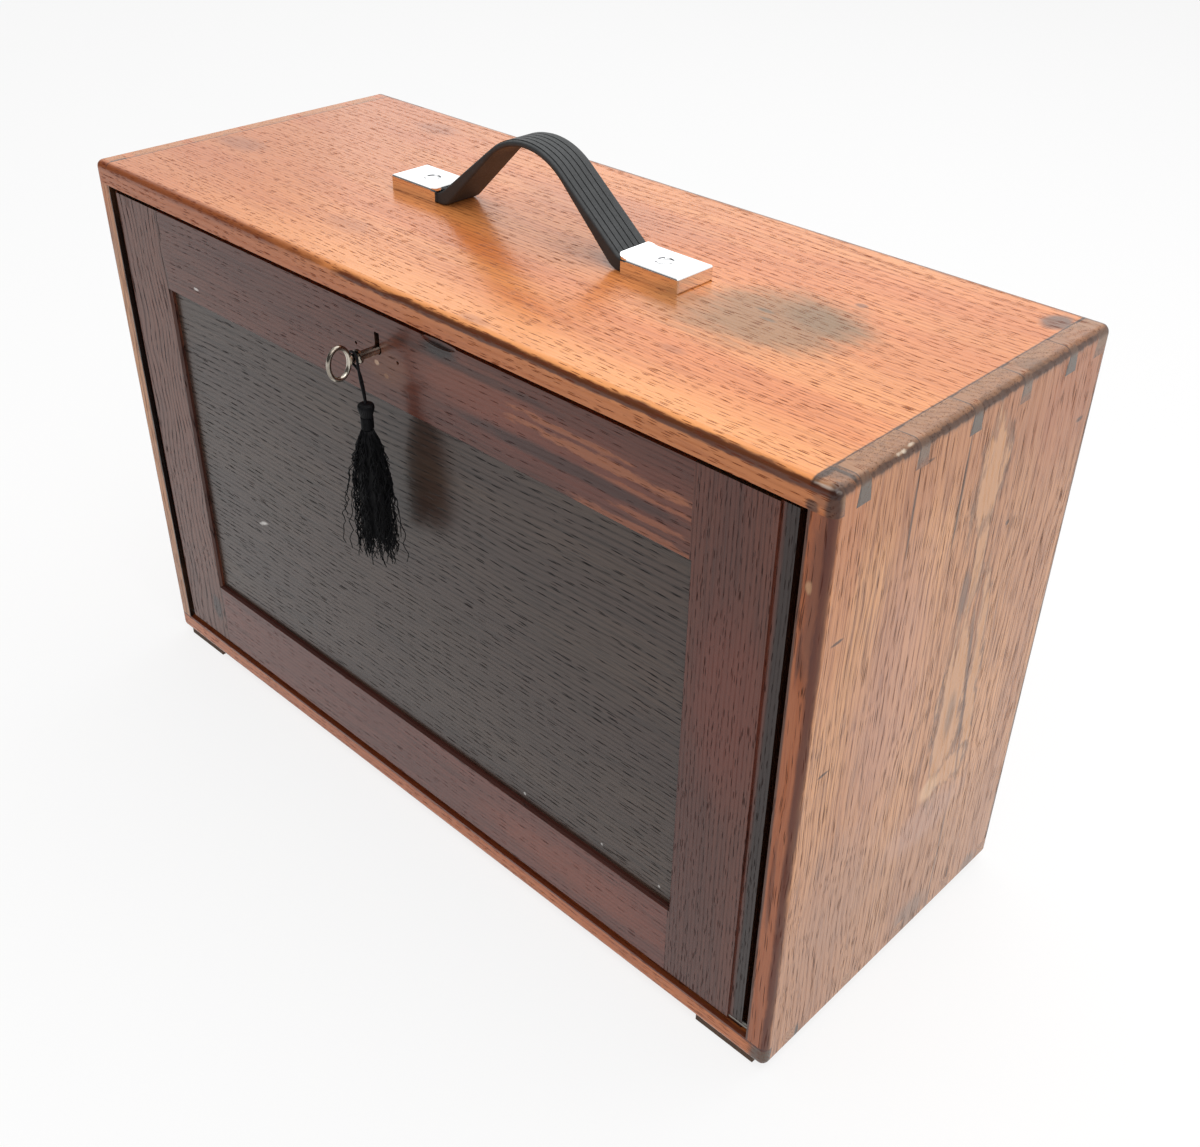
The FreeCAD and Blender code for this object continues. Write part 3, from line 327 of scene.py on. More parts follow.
def tasselCore():
    x, y = cord["head"][0], cord["key"][1]
    vertices = []
    for row in range(core["rows"] + 1):
        down = row / core["rows"]
        spread = core["width"] * (1 - (1 - core["length"] * down) ** skirt["early"])
        spread *= 1 - core["narrowing"] * down ** core["narrowingPower"]
        neck = core["neckRadius"] * (1 - spread)
        for side in range(core["sides"]):
            angle = 2 * math.pi * side / core["sides"]
            fold = 1 + core["foldDepth"] * math.sin(core["folds"] * angle + core["foldTwist"] * down) * down
            across = (skirt["halfWidth"] * spread + neck) * fold * math.cos(angle)
            deep = (skirt["halfDepth"] * spread + neck) * fold * math.sin(angle)
            z = skirt["top"] - core["length"] * skirt["length"] * down
            vertices.append(Vector((x + across, y + deep, z)) * mm)
    return meshPiece("tasselCore", vertices, closedTube(core["sides"], core["rows"] + 1, downward=True), thread)


fringe, fill = tasselSkirt(), tasselCore()
for piece in (fringe, fill):
    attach(piece, "tassel")
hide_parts("tassel_skirt")
print("tassel made")


# Woods

def patch(at, half, colour, strength=0.7, soft=0.4, ragged=0.8, turn=0, turnAbout="Z"):
    # one stain, mark or patch of painted light or shade: an ellipsoid with its middle and half sizes in mm and a turn
    # in degrees.
    # Its soft edge and its ragged one are shares of its size.
    turned = [0, 0, 0]
    turned["XYZ".index(turnAbout)] = math.radians(turn)
    return {"at": at, "half": half, "colour": colour, "strength": strength, "soft": soft, "ragged": ragged,
            "turn": turned}


# Where each pattern starts to count and where it counts in full, as inputs 1 and 2 of a Map Range node.
# Input 3 is what it gives before it starts to count.
counts = {
    "tone": {1: 0.32, 2: 0.68}, "streak": {1: 0.42, 2: 0.7}, "ring": {1: 0.24, 2: 0.46},
    "ringBreak": {1: 0.38, 2: 0.6, 3: 0.25}, "cutAcross": {1: 0.45, 2: 0.85}, "endTone": {1: 0.4, 2: 0.65},
}
surface = {  # how the pores and the film over them shape the gloss
    "poreEdge": 0.6,  # share of a pore's size inside which it is at its deepest
    "poreDepth": 0.3,  # mm
    "streakDepth": 0.25,  # share of that depth
    "streakRougher": 0.12,
    "coatInPores": 0.1,  # share of the coat that is left there
}


def woodFinish(name, look, stainsAndPaintedLight=(), marksAndPaintedLight=()):
    # growth rings round a pith near the board, rows of open pores along them, fine streaks and slow changes
    # of tone, end grain, stains and painted light under the pores and marks and painted light over everything
    material, tree, shader = newMaterial(name, {
        "Specular IOR Level": look["specular"], "Coat Weight": look["coat"],
        "Coat Roughness": look["coatRoughness"], "Coat IOR": look["coatIor"]})
    coordinates = addNode(tree, "ShaderNodeTexCoord").node.outputs
    along = "XYZ".index(look["grain"])
    chest = addNode(tree, "ShaderNodeVectorMath", {"operation": "SCALE"}, {0: coordinates["Object"], "Scale": 1 / mm})
    slow = addNode(tree, "ShaderNodeTexNoise", {}, {
        "Vector": chest, "Scale": 1 / look["wanderLength"], "Detail": 1}, "Color")
    sway = addNode(tree, "ShaderNodeVectorMath", multiplyAdd, {0: slow, 1: (look["wander"],) * 3, 2: chest})
    timber = addNode(tree, "ShaderNodeVectorMath", {"operation": "ADD"}, {0: sway, 1: look["start"]})

    def stretched(long, wide):
        share = [1 / wide] * 3
        share[along] = 1 / long
        return addNode(tree, "ShaderNodeVectorMath", multiply, {0: timber, 1: share})

    # noises drawn out along the grain: length and width in mm, detail and roughness
    noise = {}
    for part, (long, wide, detail, roughness) in {
            "tone": (look["toneLength"], look["toneWidth"], 3, 0.5),
            "streak": (look["streakLength"], look["streakWidth"], 4, 0.6),
            "bend": (look["bendLength"], look["bendWidth"], 2, 0.5),
            "ringBreak": (look["breakLength"], look["breakWidth"], 3, 0.6),
            "ragged": (look["raggedLength"], look["raggedLength"] / 5, 4, 0.65),
            "endTone": (look["endGrit"], look["endGrit"], 4, 0.7)}.items():
        noise[part] = addNode(tree, "ShaderNodeTexNoise", {}, {
            "Vector": stretched(long, wide), "Scale": 1, "Detail": detail, "Roughness": roughness})
        if part in counts:
            noise[part] = addNode(tree, "ShaderNodeMapRange", smooth, {0: noise[part], **counts[part]})

    # rings: circles round the pith, endless along the grain, bent a little and broken into dashes
    pitch = [look["ringPitch"]] * 3
    pitch[along] = 1e6  # so long that no ring closes along the board
    section = addNode(tree, "ShaderNodeMapping", {"vector_type": "TEXTURE"}, {
        0: sway, 1: look["pith"], 2: [math.radians(angle) for angle in look["tilt"]], 3: pitch})
    radius = addNode(tree, "ShaderNodeVectorMath", {"operation": "LENGTH"}, {0: section}, "Value")
    grown = addNode(tree, "ShaderNodeMath", multiplyAdd, {0: noise["bend"], 1: look["bend"], 2: radius})
    folded = addNode(tree, "ShaderNodeMath", {"operation": "PINGPONG"}, {0: grown, 1: 0.5})
    ring = addNode(tree, "ShaderNodeMapRange", smooth, {0: folded, **counts["ring"]})
    ringLine = addNode(tree, "ShaderNodeMath", multiply, {0: ring, 1: noise["ringBreak"]})

    # pores: long cells, of which chance keeps more near a ring
    cells = addNode(tree, "ShaderNodeTexVoronoi", {}, {
        "Vector": stretched(look["poreLength"], look["poreWidth"]), "Scale": 1}).node.outputs
    chance = addNode(tree, "ShaderNodeSeparateColor", {}, {0: cells["Color"]})
    limit = addNode(tree, "ShaderNodeMath", multiplyAdd, {0: ring, 1: look["poreRing"], 2: look["poreBase"]})
    kept = addNode(tree, "ShaderNodeMath", {"operation": "LESS_THAN"}, {0: chance, 1: limit})
    inPore = addNode(tree, "ShaderNodeMapRange", smooth, {
        0: cells["Distance"], 1: look["poreSize"], 2: look["poreSize"] * surface["poreEdge"]})
    pore = addNode(tree, "ShaderNodeMath", multiply, {0: inPore, 1: kept})

    def patchLayers(items):
        # for each stain, mark or patch of painted light or shade its colour and the share of it at each place
        layers = []
        for item in items:
            turned = addNode(tree, "ShaderNodeMapping", {"vector_type": "TEXTURE"}, {
                0: chest, 1: item["at"], 2: item["turn"], 3: item["half"]})
            reach = addNode(tree, "ShaderNodeVectorMath", {"operation": "LENGTH"}, {0: turned}, "Value")
            uneven = addNode(tree, "ShaderNodeMath", multiplyAdd, {0: noise["ragged"], 1: item["ragged"], 2: reach})
            edge = 1 + item["ragged"] / 2  # the noise is a half on the whole
            inside = addNode(tree, "ShaderNodeMapRange", smooth, {
                0: uneven, 1: edge + item["soft"], 2: edge - item["soft"], 4: item["strength"]})
            layers.append((linear(item["colour"]), inside, 1))
        return layers

    # end grain, where the face looks along the boards
    axis = [0, 0, 0]
    axis[along] = 1
    lengthwise = addNode(tree, "ShaderNodeVectorMath", {"operation": "DOT_PRODUCT"}, {
        0: coordinates["Normal"], 1: axis}, "Value")
    lengthwise = addNode(tree, "ShaderNodeMath", {"operation": "ABSOLUTE"}, {0: lengthwise})
    cutAcross = addNode(tree, "ShaderNodeMapRange", smooth, {0: lengthwise, **counts["cutAcross"]})
    endTone = addNode(tree, "ShaderNodeMix", colourMix, {
        0: noise["endTone"], 6: linear(look["end"]), 7: linear(look["endDark"])}, 2)

    # the colours from the wood up to the marks and painted light, each with where it lies and how strong it is
    colour = linear(look["mid"])
    for over, share, strength in [
            (linear(look["light"]), noise["tone"], 1),
            (linear(look["dark"]), noise["streak"], look["streakShare"]),
            (linear(look["dark"]), ringLine, look["ringShare"]),
            (endTone, cutAcross, 1),
            *patchLayers(stainsAndPaintedLight),
            (linear(look["pore"]), pore, look["poreShare"]),
            *patchLayers(marksAndPaintedLight)]:
        if strength < 1:
            share = addNode(tree, "ShaderNodeMath", multiply, {0: share, 1: strength})
        colour = addNode(tree, "ShaderNodeMix", colourMix, {0: share, 6: colour, 7: over}, 2)
    tree.links.new(colour, shader.inputs["Base Color"])

    rough = addNode(tree, "ShaderNodeMapRange", {}, {
        0: noise["streak"], 3: look["roughness"], 4: look["roughness"] + surface["streakRougher"]})
    tree.links.new(rough, shader.inputs["Roughness"])
    if look["coat"]:  # the film never filled the pores, so they have no gloss
        ringHollow = addNode(tree, "ShaderNodeMath", multiply, {0: ringLine, 1: look["ringDull"]})
        hollow = addNode(tree, "ShaderNodeMath", {"operation": "MAXIMUM"}, {0: pore, 1: ringHollow})
        filled = addNode(tree, "ShaderNodeMapRange", {}, {
            0: hollow, 3: look["coat"], 4: look["coat"] * surface["coatInPores"]})
        tree.links.new(filled, shader.inputs["Coat Weight"])
    shallow = addNode(tree, "ShaderNodeMath", multiply, {0: noise["streak"], 1: -surface["streakDepth"]})
    height = addNode(tree, "ShaderNodeMath", multiplyAdd, {0: pore, 1: -1, 2: shallow})
    bump = addNode(tree, "ShaderNodeBump", {}, {
        "Height": height, "Strength": look["relief"], "Distance": surface["poreDepth"] * mm})
    tree.links.new(bump, shader.inputs["Normal"])
    tree.links.new(bump, shader.inputs["Coat Normal"])
    return material


# Worn shellac on plain-sawn oak: orange-brown, a soft gloss over rows of short open pores.
# The pores are drawn half a millimetre wide or more, coarser than real ones, so that they show.
oak = {  # places, lengths, widths and pitches in mm, shares and strengths from 0 to 1
    "grain": "X", "start": (0, 0, 0),  # the boards' direction, and the place in the timber they were cut from
    "light": "#e08f50", "mid": "#d67d42", "dark": "#8a4420", "pore": "#662a10",
    "end": "#a06a48", "endDark": "#7a4c34", "endGrit": 3,
    "toneLength": 220, "toneWidth": 26, "wander": 7, "wanderLength": 160,
    "streakLength": 40, "streakWidth": 1.3, "streakShare": 0.4, "raggedLength": 26,
    "pith": (0, 150, 190), "tilt": (0, 0, 0), "ringPitch": 1.9, "ringShare": 0.35, "ringDull": 0.35,
    "bend": 5, "bendLength": 300, "bendWidth": 45, "breakLength": 12, "breakWidth": 1,
    "poreLength": 7.5, "poreWidth": 0.54, "poreSize": 0.47, "poreBase": 0.18, "poreRing": 0.5, "poreShare": 0.85,
    "specular": 0.05, "roughness": 0.5, "relief": 0.3, "coat": 0.95, "coatIor": 1.45, "coatRoughness": 0.2,
}


def alike(**changes):
    # the oak above, with some of its values changed
    return {**oak, **changes}


topZ, rightX = 326, 254  # mm: the chest's top and right faces
frontY, frameY, panelY = -87.5, -86, -80  # the faces of the case, of the drop front's frame and of its panel
endless = 2000  # longer than the chest
pinPlaces = [-70.5 + 38 * index for index in range(5)]  # y of the dovetail pins' middles along the top's ends
seamBrown = "#2b170e"
cornerCracksAndHighlights = [  # cracks, a dark worn spot and painted highlights in the front right corner, shared by the two boards that meet there
    patch((248.5, -75.8, topZ), (8, 1.2, 5), "#1c0f09", 0.9, 0.4, 0.9),
    patch((243.2, -81, topZ), (1.6, 7, 3), "#1c0f09", 0.85, 0.5, 1.4),
    patch((252, -84.5, 325), (3, 3, 2.5), "#2a1a14", 0.7, 0.5, 1.6),
    # painted highlights along the front right arris
    patch((253.2, -86, 324), (1, 1.2, 0.8), "#e8e0d6", 0.8, 0.4, 1.2),
    patch((247, -87, 325), (5, 1, 0.7), "#e0d2c4", 0.5, 0.5, 3),
]
topLook = alike(start=(310, 40, 75), end="#8d6145", endDark="#6f4a35")
topStainsAndPaintedLight = [
    # redder towards the left end
    patch((-262, 20, topZ), (150, 170, 30), "#b9683a", 0.5, 0.55, 0.3),
    # grey-green water stain right of the handle
    patch((149, 13, topZ), (38, 31, 9), "#8b653d", 0.82, 0.4, 1.2, 8),
    patch((114, -5, topZ), (26, 15, 9), "#96683c", 0.5, 0.5),
    patch((167, 26, topZ), (22, 12, 9), "#6c5636", 0.55, 0.5),
    # dark spot at the back corner, and faint ones over the board
    patch((236, 98.5, topZ), (7, 9, 6), "#4c3b33", 0.9, 0.3),
    patch((0, 60, topZ), (58, 20, 9), "#a06a55", 0.32, 0.6),
    patch((-221, -11.5, topZ), (17, 9, 9), "#8a5038", 0.45, 0.5),
    patch((-167, 88.5, topZ), (15, 9, 9), "#8a5038", 0.4, 0.5),
    patch((-72, -48.5, topZ), (17, 7, 9), "#95552f", 0.3, 0.5),
    patch((137, -42.5, topZ), (7, 3, 6), "#8a4a2a", 0.4, 0.5),
    # painted light along the front edge, which is lighter there; browner near the right end
    patch((70, -78, topZ), (200, 15, 9), "#f2a765", 0.55, 0.7, 0.8),
    patch((222, 50, topZ), (24, 48, 9), "#c4743f", 0.4, 0.6),
    patch((58, -81.5, topZ), (10, 3, 6), "#8a4a2a", 0.4, 0.5),
    # tails worn grey-brown, darker along the front and back edges, and painted shade on the rounded front arris
    # towards the left
    patch((250, 14, topZ), (8.5, endless, 10), "#86654a", 0.8, 0.12, 0.15),
    patch((0, frontY, 315), (endless, 2.5, 9), "#9c5228", 0.55, 0.4, 0.8),
    patch((160, frontY, 323.2), (230, 3.2, 1.9), "#3e1004", 0.88, 0.3, 1.9),
    # painted shade on the rounded front arris towards the left
    patch((-170, -86.5, 324), (130, 3, 3.2), "#7c3a18", 0.75, 0.4, 0.9),
    patch((0, 117.5, 325), (endless, 6.2, 6), "#3c150a", 0.95, 0.25, 0.6),
    # end grain of the pins, every second one darker
    *[patch((rightX, y, 315), (4, 6, 8), "#5f574f", 0.9, 0.25, 0.5) for y in pinPlaces[::2]],
    *[patch((255, y, 320), (4, 6, 4), "#6f655c", 0.5, 0.4, 1.4) for y in pinPlaces[1::2]],
]
topMarksAndPaintedLight = [
    *cornerCracksAndHighlights,
    # specks in and near the water stain
    patch((140, 17, topZ), (5, 1.6, 3), "#5a4a34", 0.7, 0.5, 1.8),
    patch((146, 10, topZ), (4, 1.2, 3), "#5a4a34", 0.6, 0.5, 1.8),
    patch((166, 52, topZ), (3, 2, 3), "#5a4236", 0.6),
    # joint lines round the tails
    patch((242, 14, 327), (0.7, endless, 3), seamBrown, 0.85, 0.5, 0.9),
    patch((-242, 14, 327), (0.6, endless, 3), "#4a2414", 0.75, 0.5, 0.9),
    *[patch((248.5, y - 3, topZ), (7, 0.7, 16), seamBrown, 0.85, 0.4, 0.4) for y in pinPlaces],
    *[patch((rightX, y - 4.3, 318), (2, 0.6, 8), seamBrown, 0.8, 0.4, 0.6) for y in pinPlaces[::2]],
    # worn right edge, with a painted highlight on it
    patch((rightX, 14, 325), (2.2, endless, 3), "#4a3226", 0.7, 0.5, 1.4),
    patch((253, -44.5, 325.5), (2, 6, 2), "#d9c6b0", 0.8, 0.5, 1.6),
    # front end of the board, with a plug of dirt, and its shadow line
    patch((252.5, -87, 317), (3.2, 3, 9), "#2c120a", 0.85, 0.4),
    patch((243.5, frontY, 315), (2.6, 2, 2.6), "#2b2322", 0.75, 0.4, 1.4),
    patch((0, frontY, 309), (endless, 3, 1.1), "#1c0f09", 0.9, 0.4, 0.6),
]
finish(woodFinish("shellac on oak, top", topLook, topStainsAndPaintedLight, topMarksAndPaintedLight), "top_board")

bottomLook = alike(start=(90, 510, 33), light="#d07a40", mid="#c0682f", dark="#743420", end="#ad7a52",
                   endDark="#9a6a48", pith=(0, 40, 130))
finish(woodFinish("shellac on oak, bottom", bottomLook, [
    patch((252, -87, 9), (7, 7, 10), "#4c443c", 0.9, 0.3),
], [
    # painted shade in the gap under the drop front, along the board's top front edge
    patch((0, frontY, 16.5), (endless, 3, 1.3), "#4a1a10", 0.85, 0.4, 0.8),
]), "bottom_board")

# The ends stood against walls and benches: greyer, with the shellac rubbed and scraped off in pale strips
sideLook = alike(grain="Z", start=(20, 77, 130), light="#d69763", mid="#be8052", dark="#70442c", pore="#381c12",
                 end="#97704f", endDark="#644734", wander=6, wanderLength=70, streakShare=0.8, streakWidth=1.0,
                 pith=(120, 190, 0), ringPitch=3.4, ringShare=0.42, bend=6, bendLength=170, bendWidth=30,
                 breakLength=30, breakWidth=1.4, poreLength=17, poreWidth=0.5, poreRing=0.45, poreShare=0.8)
scraped = {
    "strips": ((27.5, 285, 9, 26, 0), (31, 237, 4, 25, 0), (33.5, 160, 10, 58, 2), (51, 165, 4.5, 58, 6.5),
               (44, 112, 11, 9, 0)),  # y and z, half the width and height, and the lean in degrees
    "layers": ((1.25, "#553420", 0.85), (1.0, "#cd966a", 0.9)),  # a dark outline, then the bare wood inside it
    "depth": 10, "heightPower": 0.3, "soft": 0.2, "ragged": 2.6,
}
sideStainsAndPaintedShade = [
    # painted shade at the foot, which is darker and greyer, and redder at the top and back
    patch((rightX, 14, 40), (14, 200, 50), "#a0704f", 0.4, 0.6, 0.5),
    patch((rightX, 14, 312), (14, 200, 26), "#a9683e", 0.5, 0.5, 0.9),
    patch((rightX, 88, 296), (14, 26, 34), "#a8603a", 0.5, 0.5, 0.9),
    patch((rightX, -80, 290), (14, 13, 60), "#bb7040", 0.35, 0.5, 0.9),
    patch((rightX, 90, 250), (14, 24, 80), "#a4643c", 0.3, 0.5, 0.9),
    # pale, rubbed places
    patch((rightX, 30, 88), (10, 32, 13), "#b98e7a", 0.5, 0.45, 0.5),
    patch((rightX, -25, 200), (10, 26, 70), "#b98672", 0.4, 0.6, 1.4),
    patch((rightX, -50, 90), (10, 30, 40), "#a87e66", 0.4, 0.6, 1.4),
    # front edge, still orange, dark near the top
    patch((247, -88, 160), (8, 3, endless), "#9c4e22", 0.85, 0.3, 0.8),
    patch((249, -88, 285), (4, 3, 46), "#4c200f", 0.6, 0.5, 2.0),
    # top edge, as the tails beside it
    patch((250, 14, 328), (9, 200, 4), "#94683f", 0.3, 0.3, 0.3),
    patch((255, 14, 325), (4.5, 200, 3.5), "#5e4230", 0.65, 0.5, 1.6),
]
scrapedStrips = []
for y, z, halfWidth, halfHeight, lean in scraped["strips"]:
    for wider, colour, strength in scraped["layers"]:
        half = (scraped["depth"], halfWidth * wider, halfHeight * wider ** scraped["heightPower"])
        scrapedStrips.append(patch((rightX, y, z), half, colour, strength, scraped["soft"], scraped["ragged"],
                                   lean, "X"))
sideMarksAndPaintedLight = [
    *cornerCracksAndHighlights,
    *scrapedStrips,
    # bare and dark places along the strips
    patch((rightX, 27.5, 110), (8, 8, 7), "#dcae84", 0.7, 0.4, 1.2),
    patch((rightX, 41, 187), (8, 1.6, 22), "#5c3a26", 0.75, 0.5, 1.4, 8, "X"),
    patch((rightX, 48.5, 140), (8, 0.9, 36), "#5c3a26", 0.7, 0.5, 1.6, 8, "X"),
    patch((rightX, 23.5, 228), (8, 4, 13), "#4a3c36", 0.6, 0.45, 1.0),
    patch((rightX, 34, 153), (8, 3.5, 13), "#5c4c42", 0.5, 0.45, 1.0),
    # cracks, and short scratches
    patch((rightX, -33.5, 293), (8, 0.8, 21), seamBrown, 0.8, 0.4, 0.6),
    patch((rightX, -29, 314), (8, 5, 0.8), seamBrown, 0.7, 0.4, 0.5),
    patch((rightX, 3.5, 286), (8, 0.9, 28), "#38200f", 0.85, 0.4, 0.5),
    patch((rightX, -75, 253.5), (8, 4, 0.8), seamBrown, 0.8),
    patch((rightX, -71.5, 183.5), (8, 3.5, 0.8), seamBrown, 0.8),
    patch((rightX, 103, 284), (8, 3, 1.2), seamBrown, 0.7),
    patch((rightX, 51.5, 252), (8, 1.6, 1.2), seamBrown, 0.7),
    # dirt and wear at the foot
    patch((rightX, -62.5, 9.5), (8, 1.8, 6), "#1e120c", 0.85, 0.35),
    patch((rightX, -87, 9), (10, 2, 7), "#24150f", 0.8, 0.4),
    patch((rightX, 70, 18.5), (8, 0.7, 7), seamBrown, 0.8),
    patch((rightX, 52.5, 47), (8, 0.8, 43), "#3a2216", 0.6, 0.5, 1.6),
    patch((rightX, 33.5, 17.5), (8, 15, 10), "#6b5b50", 0.5, 0.5, 0.8),
    patch((rightX, 93.5, 10), (8, 7, 7), "#6b5b50", 0.6, 0.5, 0.8),
    # dark arrises, dents on the front edge, and painted shade in the gap beside the drop front
    patch((rightX, 117, 160), (5, 6, endless), "#3a1c10", 0.9, 0.3, 0.8),
    patch((245.5, frontY, 250), (1, 2, 14), "#4a2012", 0.6, 0.4, 1.4),
    patch((246, frontY, 120), (1.2, 2, 30), "#4a2012", 0.5, 0.4, 1.6),
    patch((rightX, frontY, 150), (3.4, 3.0, endless), "#47180a", 0.85, 0.3, 0.9),
    patch((246.4, frontY, 281.5), (1.5, 2, 3), "#bd9068", 0.7, 0.4, 2.0),
    # painted shade on the inner face, deep in the gap beside the drop front
    patch((242, frontY, 160), (1.2, 3, endless), "#20120c", 0.8, 0.4, 0.8),
    # top arris: dirt, painted highlights and rubbed corners
    patch((253.6, 14, 323.8), (1.3, 200, 1.6), "#33201a", 0.75, 0.4, 2.2),
    # painted highlights on the arris
    patch((253, -47.5, 325.4), (1, 3.4, 1), "#dccab4", 0.75, 0.4, 2.4),
    patch((252.2, -40.5, 325.8), (0.8, 2, 1), "#dccab4", 0.6, 0.4, 2.0),
    patch((250, 52, topZ), (5, 9, 2), "#5b4433", 0.45, 0.5, 2.0),
    patch((248, -76, topZ), (5, 7, 2), "#584436", 0.5, 0.5, 2.0),
]
finish(woodFinish("rubbed shellac on oak, right end", sideLook, sideStainsAndPaintedShade, sideMarksAndPaintedLight), "right_side")
leftLook = {**sideLook, "start": (90, 7, 440), "pith": (-120, -160, 0)}
leftMarksAndPaintedShade = [  # painted shade in the gap beside the drop front, and dark arrises
    patch((-242, -87, 165), (1.1, 4, 148), "#120c0a", 0.95, 0.35, 1.2),
    patch((-242, -80, 160), (1.2, 9, endless), "#120c0a", 0.9, 0.3, 0.6),
    patch((-rightX, frontY, 160), (2.5, 3, endless), "#7c3522", 0.5, 0.4, 0.8),
    patch((-rightX, 115.5, 160), (4, 2.2, endless), "#3d2013", 0.8, 0.4, 0.9),
]
finish(woodFinish("rubbed shellac on oak, left end", leftLook, [
    # painted shade at the foot, as on the right end
    patch((-rightX, 14, 40), (14, 200, 50), "#8f5f45", 0.5, 0.6, 0.5),
    patch((-rightX, -20, 200), (12, 40, 50), "#c98f62", 0.35, 0.5, 1.0),
    patch((-rightX, 14, 312), (14, 200, 26), "#c06a34", 0.55, 0.5, 0.6),
    patch((-250, 14, 328), (9, 200, 4), "#c98350", 0.9, 0.3, 0.3),
], leftMarksAndPaintedShade), "left_side")

# Old oil varnish on the drop front: dark red-brown on its frame and near black on its panel, with an even gloss.
# Pores there are drawn 0.55 to 0.9 mm wide, where real ones are about 0.3 mm, so that they show.
doorLook = alike(start=(50, 12, 8), light="#62301f", mid="#54281c", dark="#301510", pore="#170b08", end="#33241d",
                 endDark="#241812", pith=(40, -40, 420), ringPitch=2.6, ringShare=0.55, ringDull=0.6,
                 poreLength=8, poreWidth=0.9, streakShare=0.45, coatRoughness=0.22)
doorTopStains = [
    # varnish worn to a warmer brown right of the lock
    patch((61, frameY, 294), (38, 6, 11), "#82452c", 0.45, 0.5, 1.6),
    patch((112, frameY, 286), (80, 6, 16), "#74392a", 0.45, 0.5, 1.2),
    # light streaks along the grain
    patch((140, frameY, 290.5), (46, 6, 2.6), "#a4623c", 0.65, 0.3, 2.6),
    patch((120, frameY, 296), (34, 6, 1.5), "#a4623c", 0.55, 0.3, 2.6),
    patch((160, frameY, 284), (28, 6, 1.4), "#9c5a38", 0.55, 0.3, 2.6),
    patch((158, frameY, 266), (34, 6, 3), "#9c5a38", 0.55, 0.3, 2.6),
    patch((166, frameY, 274), (26, 6, 1.6), "#9c5a38", 0.5, 0.3, 2.6),
    # dark streaks between them, and a warm spot beside the key
    patch((117, frameY, 280), (72, 6, 3.6), "#2a1512", 0.75, 0.4, 1.2),
    patch((60, frameY, 303), (60, 6, 2.2), "#2a1512", 0.6, 0.4, 1.6),
    patch((-2, frameY, 285), (15, 6, 9), "#75401f", 0.55, 0.5, 1.0),
]
doorTopMarks = [  # a dark knock at the top edge, and small chips
    patch((38, frameY, 306.5), (11, 6, 3.4), "#1c1413", 0.9, 0.4, 1.4),
    patch((-8.5, frameY, 284.8), (1.6, 2, 1.2), "#c9a486", 0.8),
    patch((-1.8, frameY, 280), (1.5, 2, 1.2), "#8a5a34", 0.8),
    patch((-166.7, frameY, 274.3), (2, 2, 0.7), "#cfc6c2", 0.9, 0.4, 1.2),
]
topRailLook = {**doorLook, "poreWidth": 0.55, "poreBase": 0.04, "poreRing": 0.3, "poreShare": 0.6, "ringShare": 0.3,
               "ringDull": 0.25, "raggedLength": 15}
finish(woodFinish("old varnish on oak, top rail", topRailLook, doorTopStains, doorTopMarks), "door_top_rail")
lowRailLook = {**topRailLook, "start": (510, 33, 9), "light": "#70382a", "mid": "#602e24", "pith": (0, -30, -60)}
finish(woodFinish("old varnish on oak, bottom rail", lowRailLook, [
    patch((125, frameY, 40), (62, 6, 12), "#8a4630", 0.5, 0.5, 1.4),
    patch((-120, frameY, 40), (40, 6, 10), "#5a2a20", 0.4, 0.5, 1.0),
    patch((0, -85.5, 63.5), (endless, 3, 1.6), "#2e1610", 0.75, 0.4, 0.5),
]), "door_bottom_rail")
leftStileLook = {**doorLook, "grain": "Z", "start": (7, 90, 44), "light": "#6c3a26", "mid": "#5e3020",
                 "wander": 12, "wanderLength": 50, "pith": (-300, -60, 0), "ringPitch": 4.2, "ringShare": 0.65,
                 "ringDull": 0.5, "breakLength": 40, "breakWidth": 2, "poreLength": 14, "poreBase": 0.06,
                 "poreRing": 0.6}
finish(woodFinish("old varnish on oak, left stile", leftStileLook, [
    patch((-204, frameY, 43), (5, 4, 9), "#24120d", 0.8, 0.4, 0.8),
    patch((-196, -85.5, 165), (1.6, 3, 112), "#2e1610", 0.75, 0.4, 0.5),
]), "door_stile_left")
rightStileLook = {**leftStileLook, "start": (70, 190, 4), "light": "#62301f", "mid": "#54281c", "wander": 4,
                  "wanderLength": 120, "pith": (300, -60, 0), "ringPitch": 2.1, "ringShare": 0.4, "ringDull": 0.4,
                  "breakLength": 12, "breakWidth": 1, "poreLength": 7, "poreWidth": 0.6, "poreBase": 0.15,
                  "poreShare": 0.65}
finish(woodFinish("old varnish on oak, right stile", rightStileLook, [
    patch((212, frameY, 201), (18, 5, 46), "#6e3020", 0.5, 0.5, 0.9),
    patch((238, -84, 165), (7, 6, endless), "#1c100c", 0.9, 0.2, 0.2),  # the step at its edge, in shade
]), "door_stile_right")
panelLook = {**doorLook, "start": (81, 3, 209), "light": "#4a382d", "mid": "#412f27", "dark": "#1d1512",
             "pore": "#0d0908", "streakShare": 0.55, "pith": (-150, -20, 335), "tilt": (0, 0, 3), "ringPitch": 2.9,
             "ringShare": 0.5, "ringDull": 0.35, "bend": 1.6, "bendLength": 220, "bendWidth": 30,
             "breakLength": 16, "breakWidth": 1.6, "poreLength": 10, "poreWidth": 0.78, "poreBase": 0.05,
             "poreRing": 0.75}
finish(woodFinish("old varnish on oak, panel", panelLook, [
    patch((90, panelY, 150), (130, 8, 80), "#33241e", 0.3, 0.7, 1.0),
], [
    patch((-137.3, panelY, 136), (4, 8, 1.1), "#d8d4d0", 0.85, 0.5, 2.0, -20, "Y"),
    patch((85, panelY, 68), (0.9, 8, 0.9), "#c8c4c0", 0.8),
    patch((141, panelY, 71), (0.8, 8, 0.8), "#c8c4c0", 0.7),
    patch((179.5, panelY, 70), (0.8, 8, 0.8), "#c8c4c0", 0.7),
]), "door_panel")

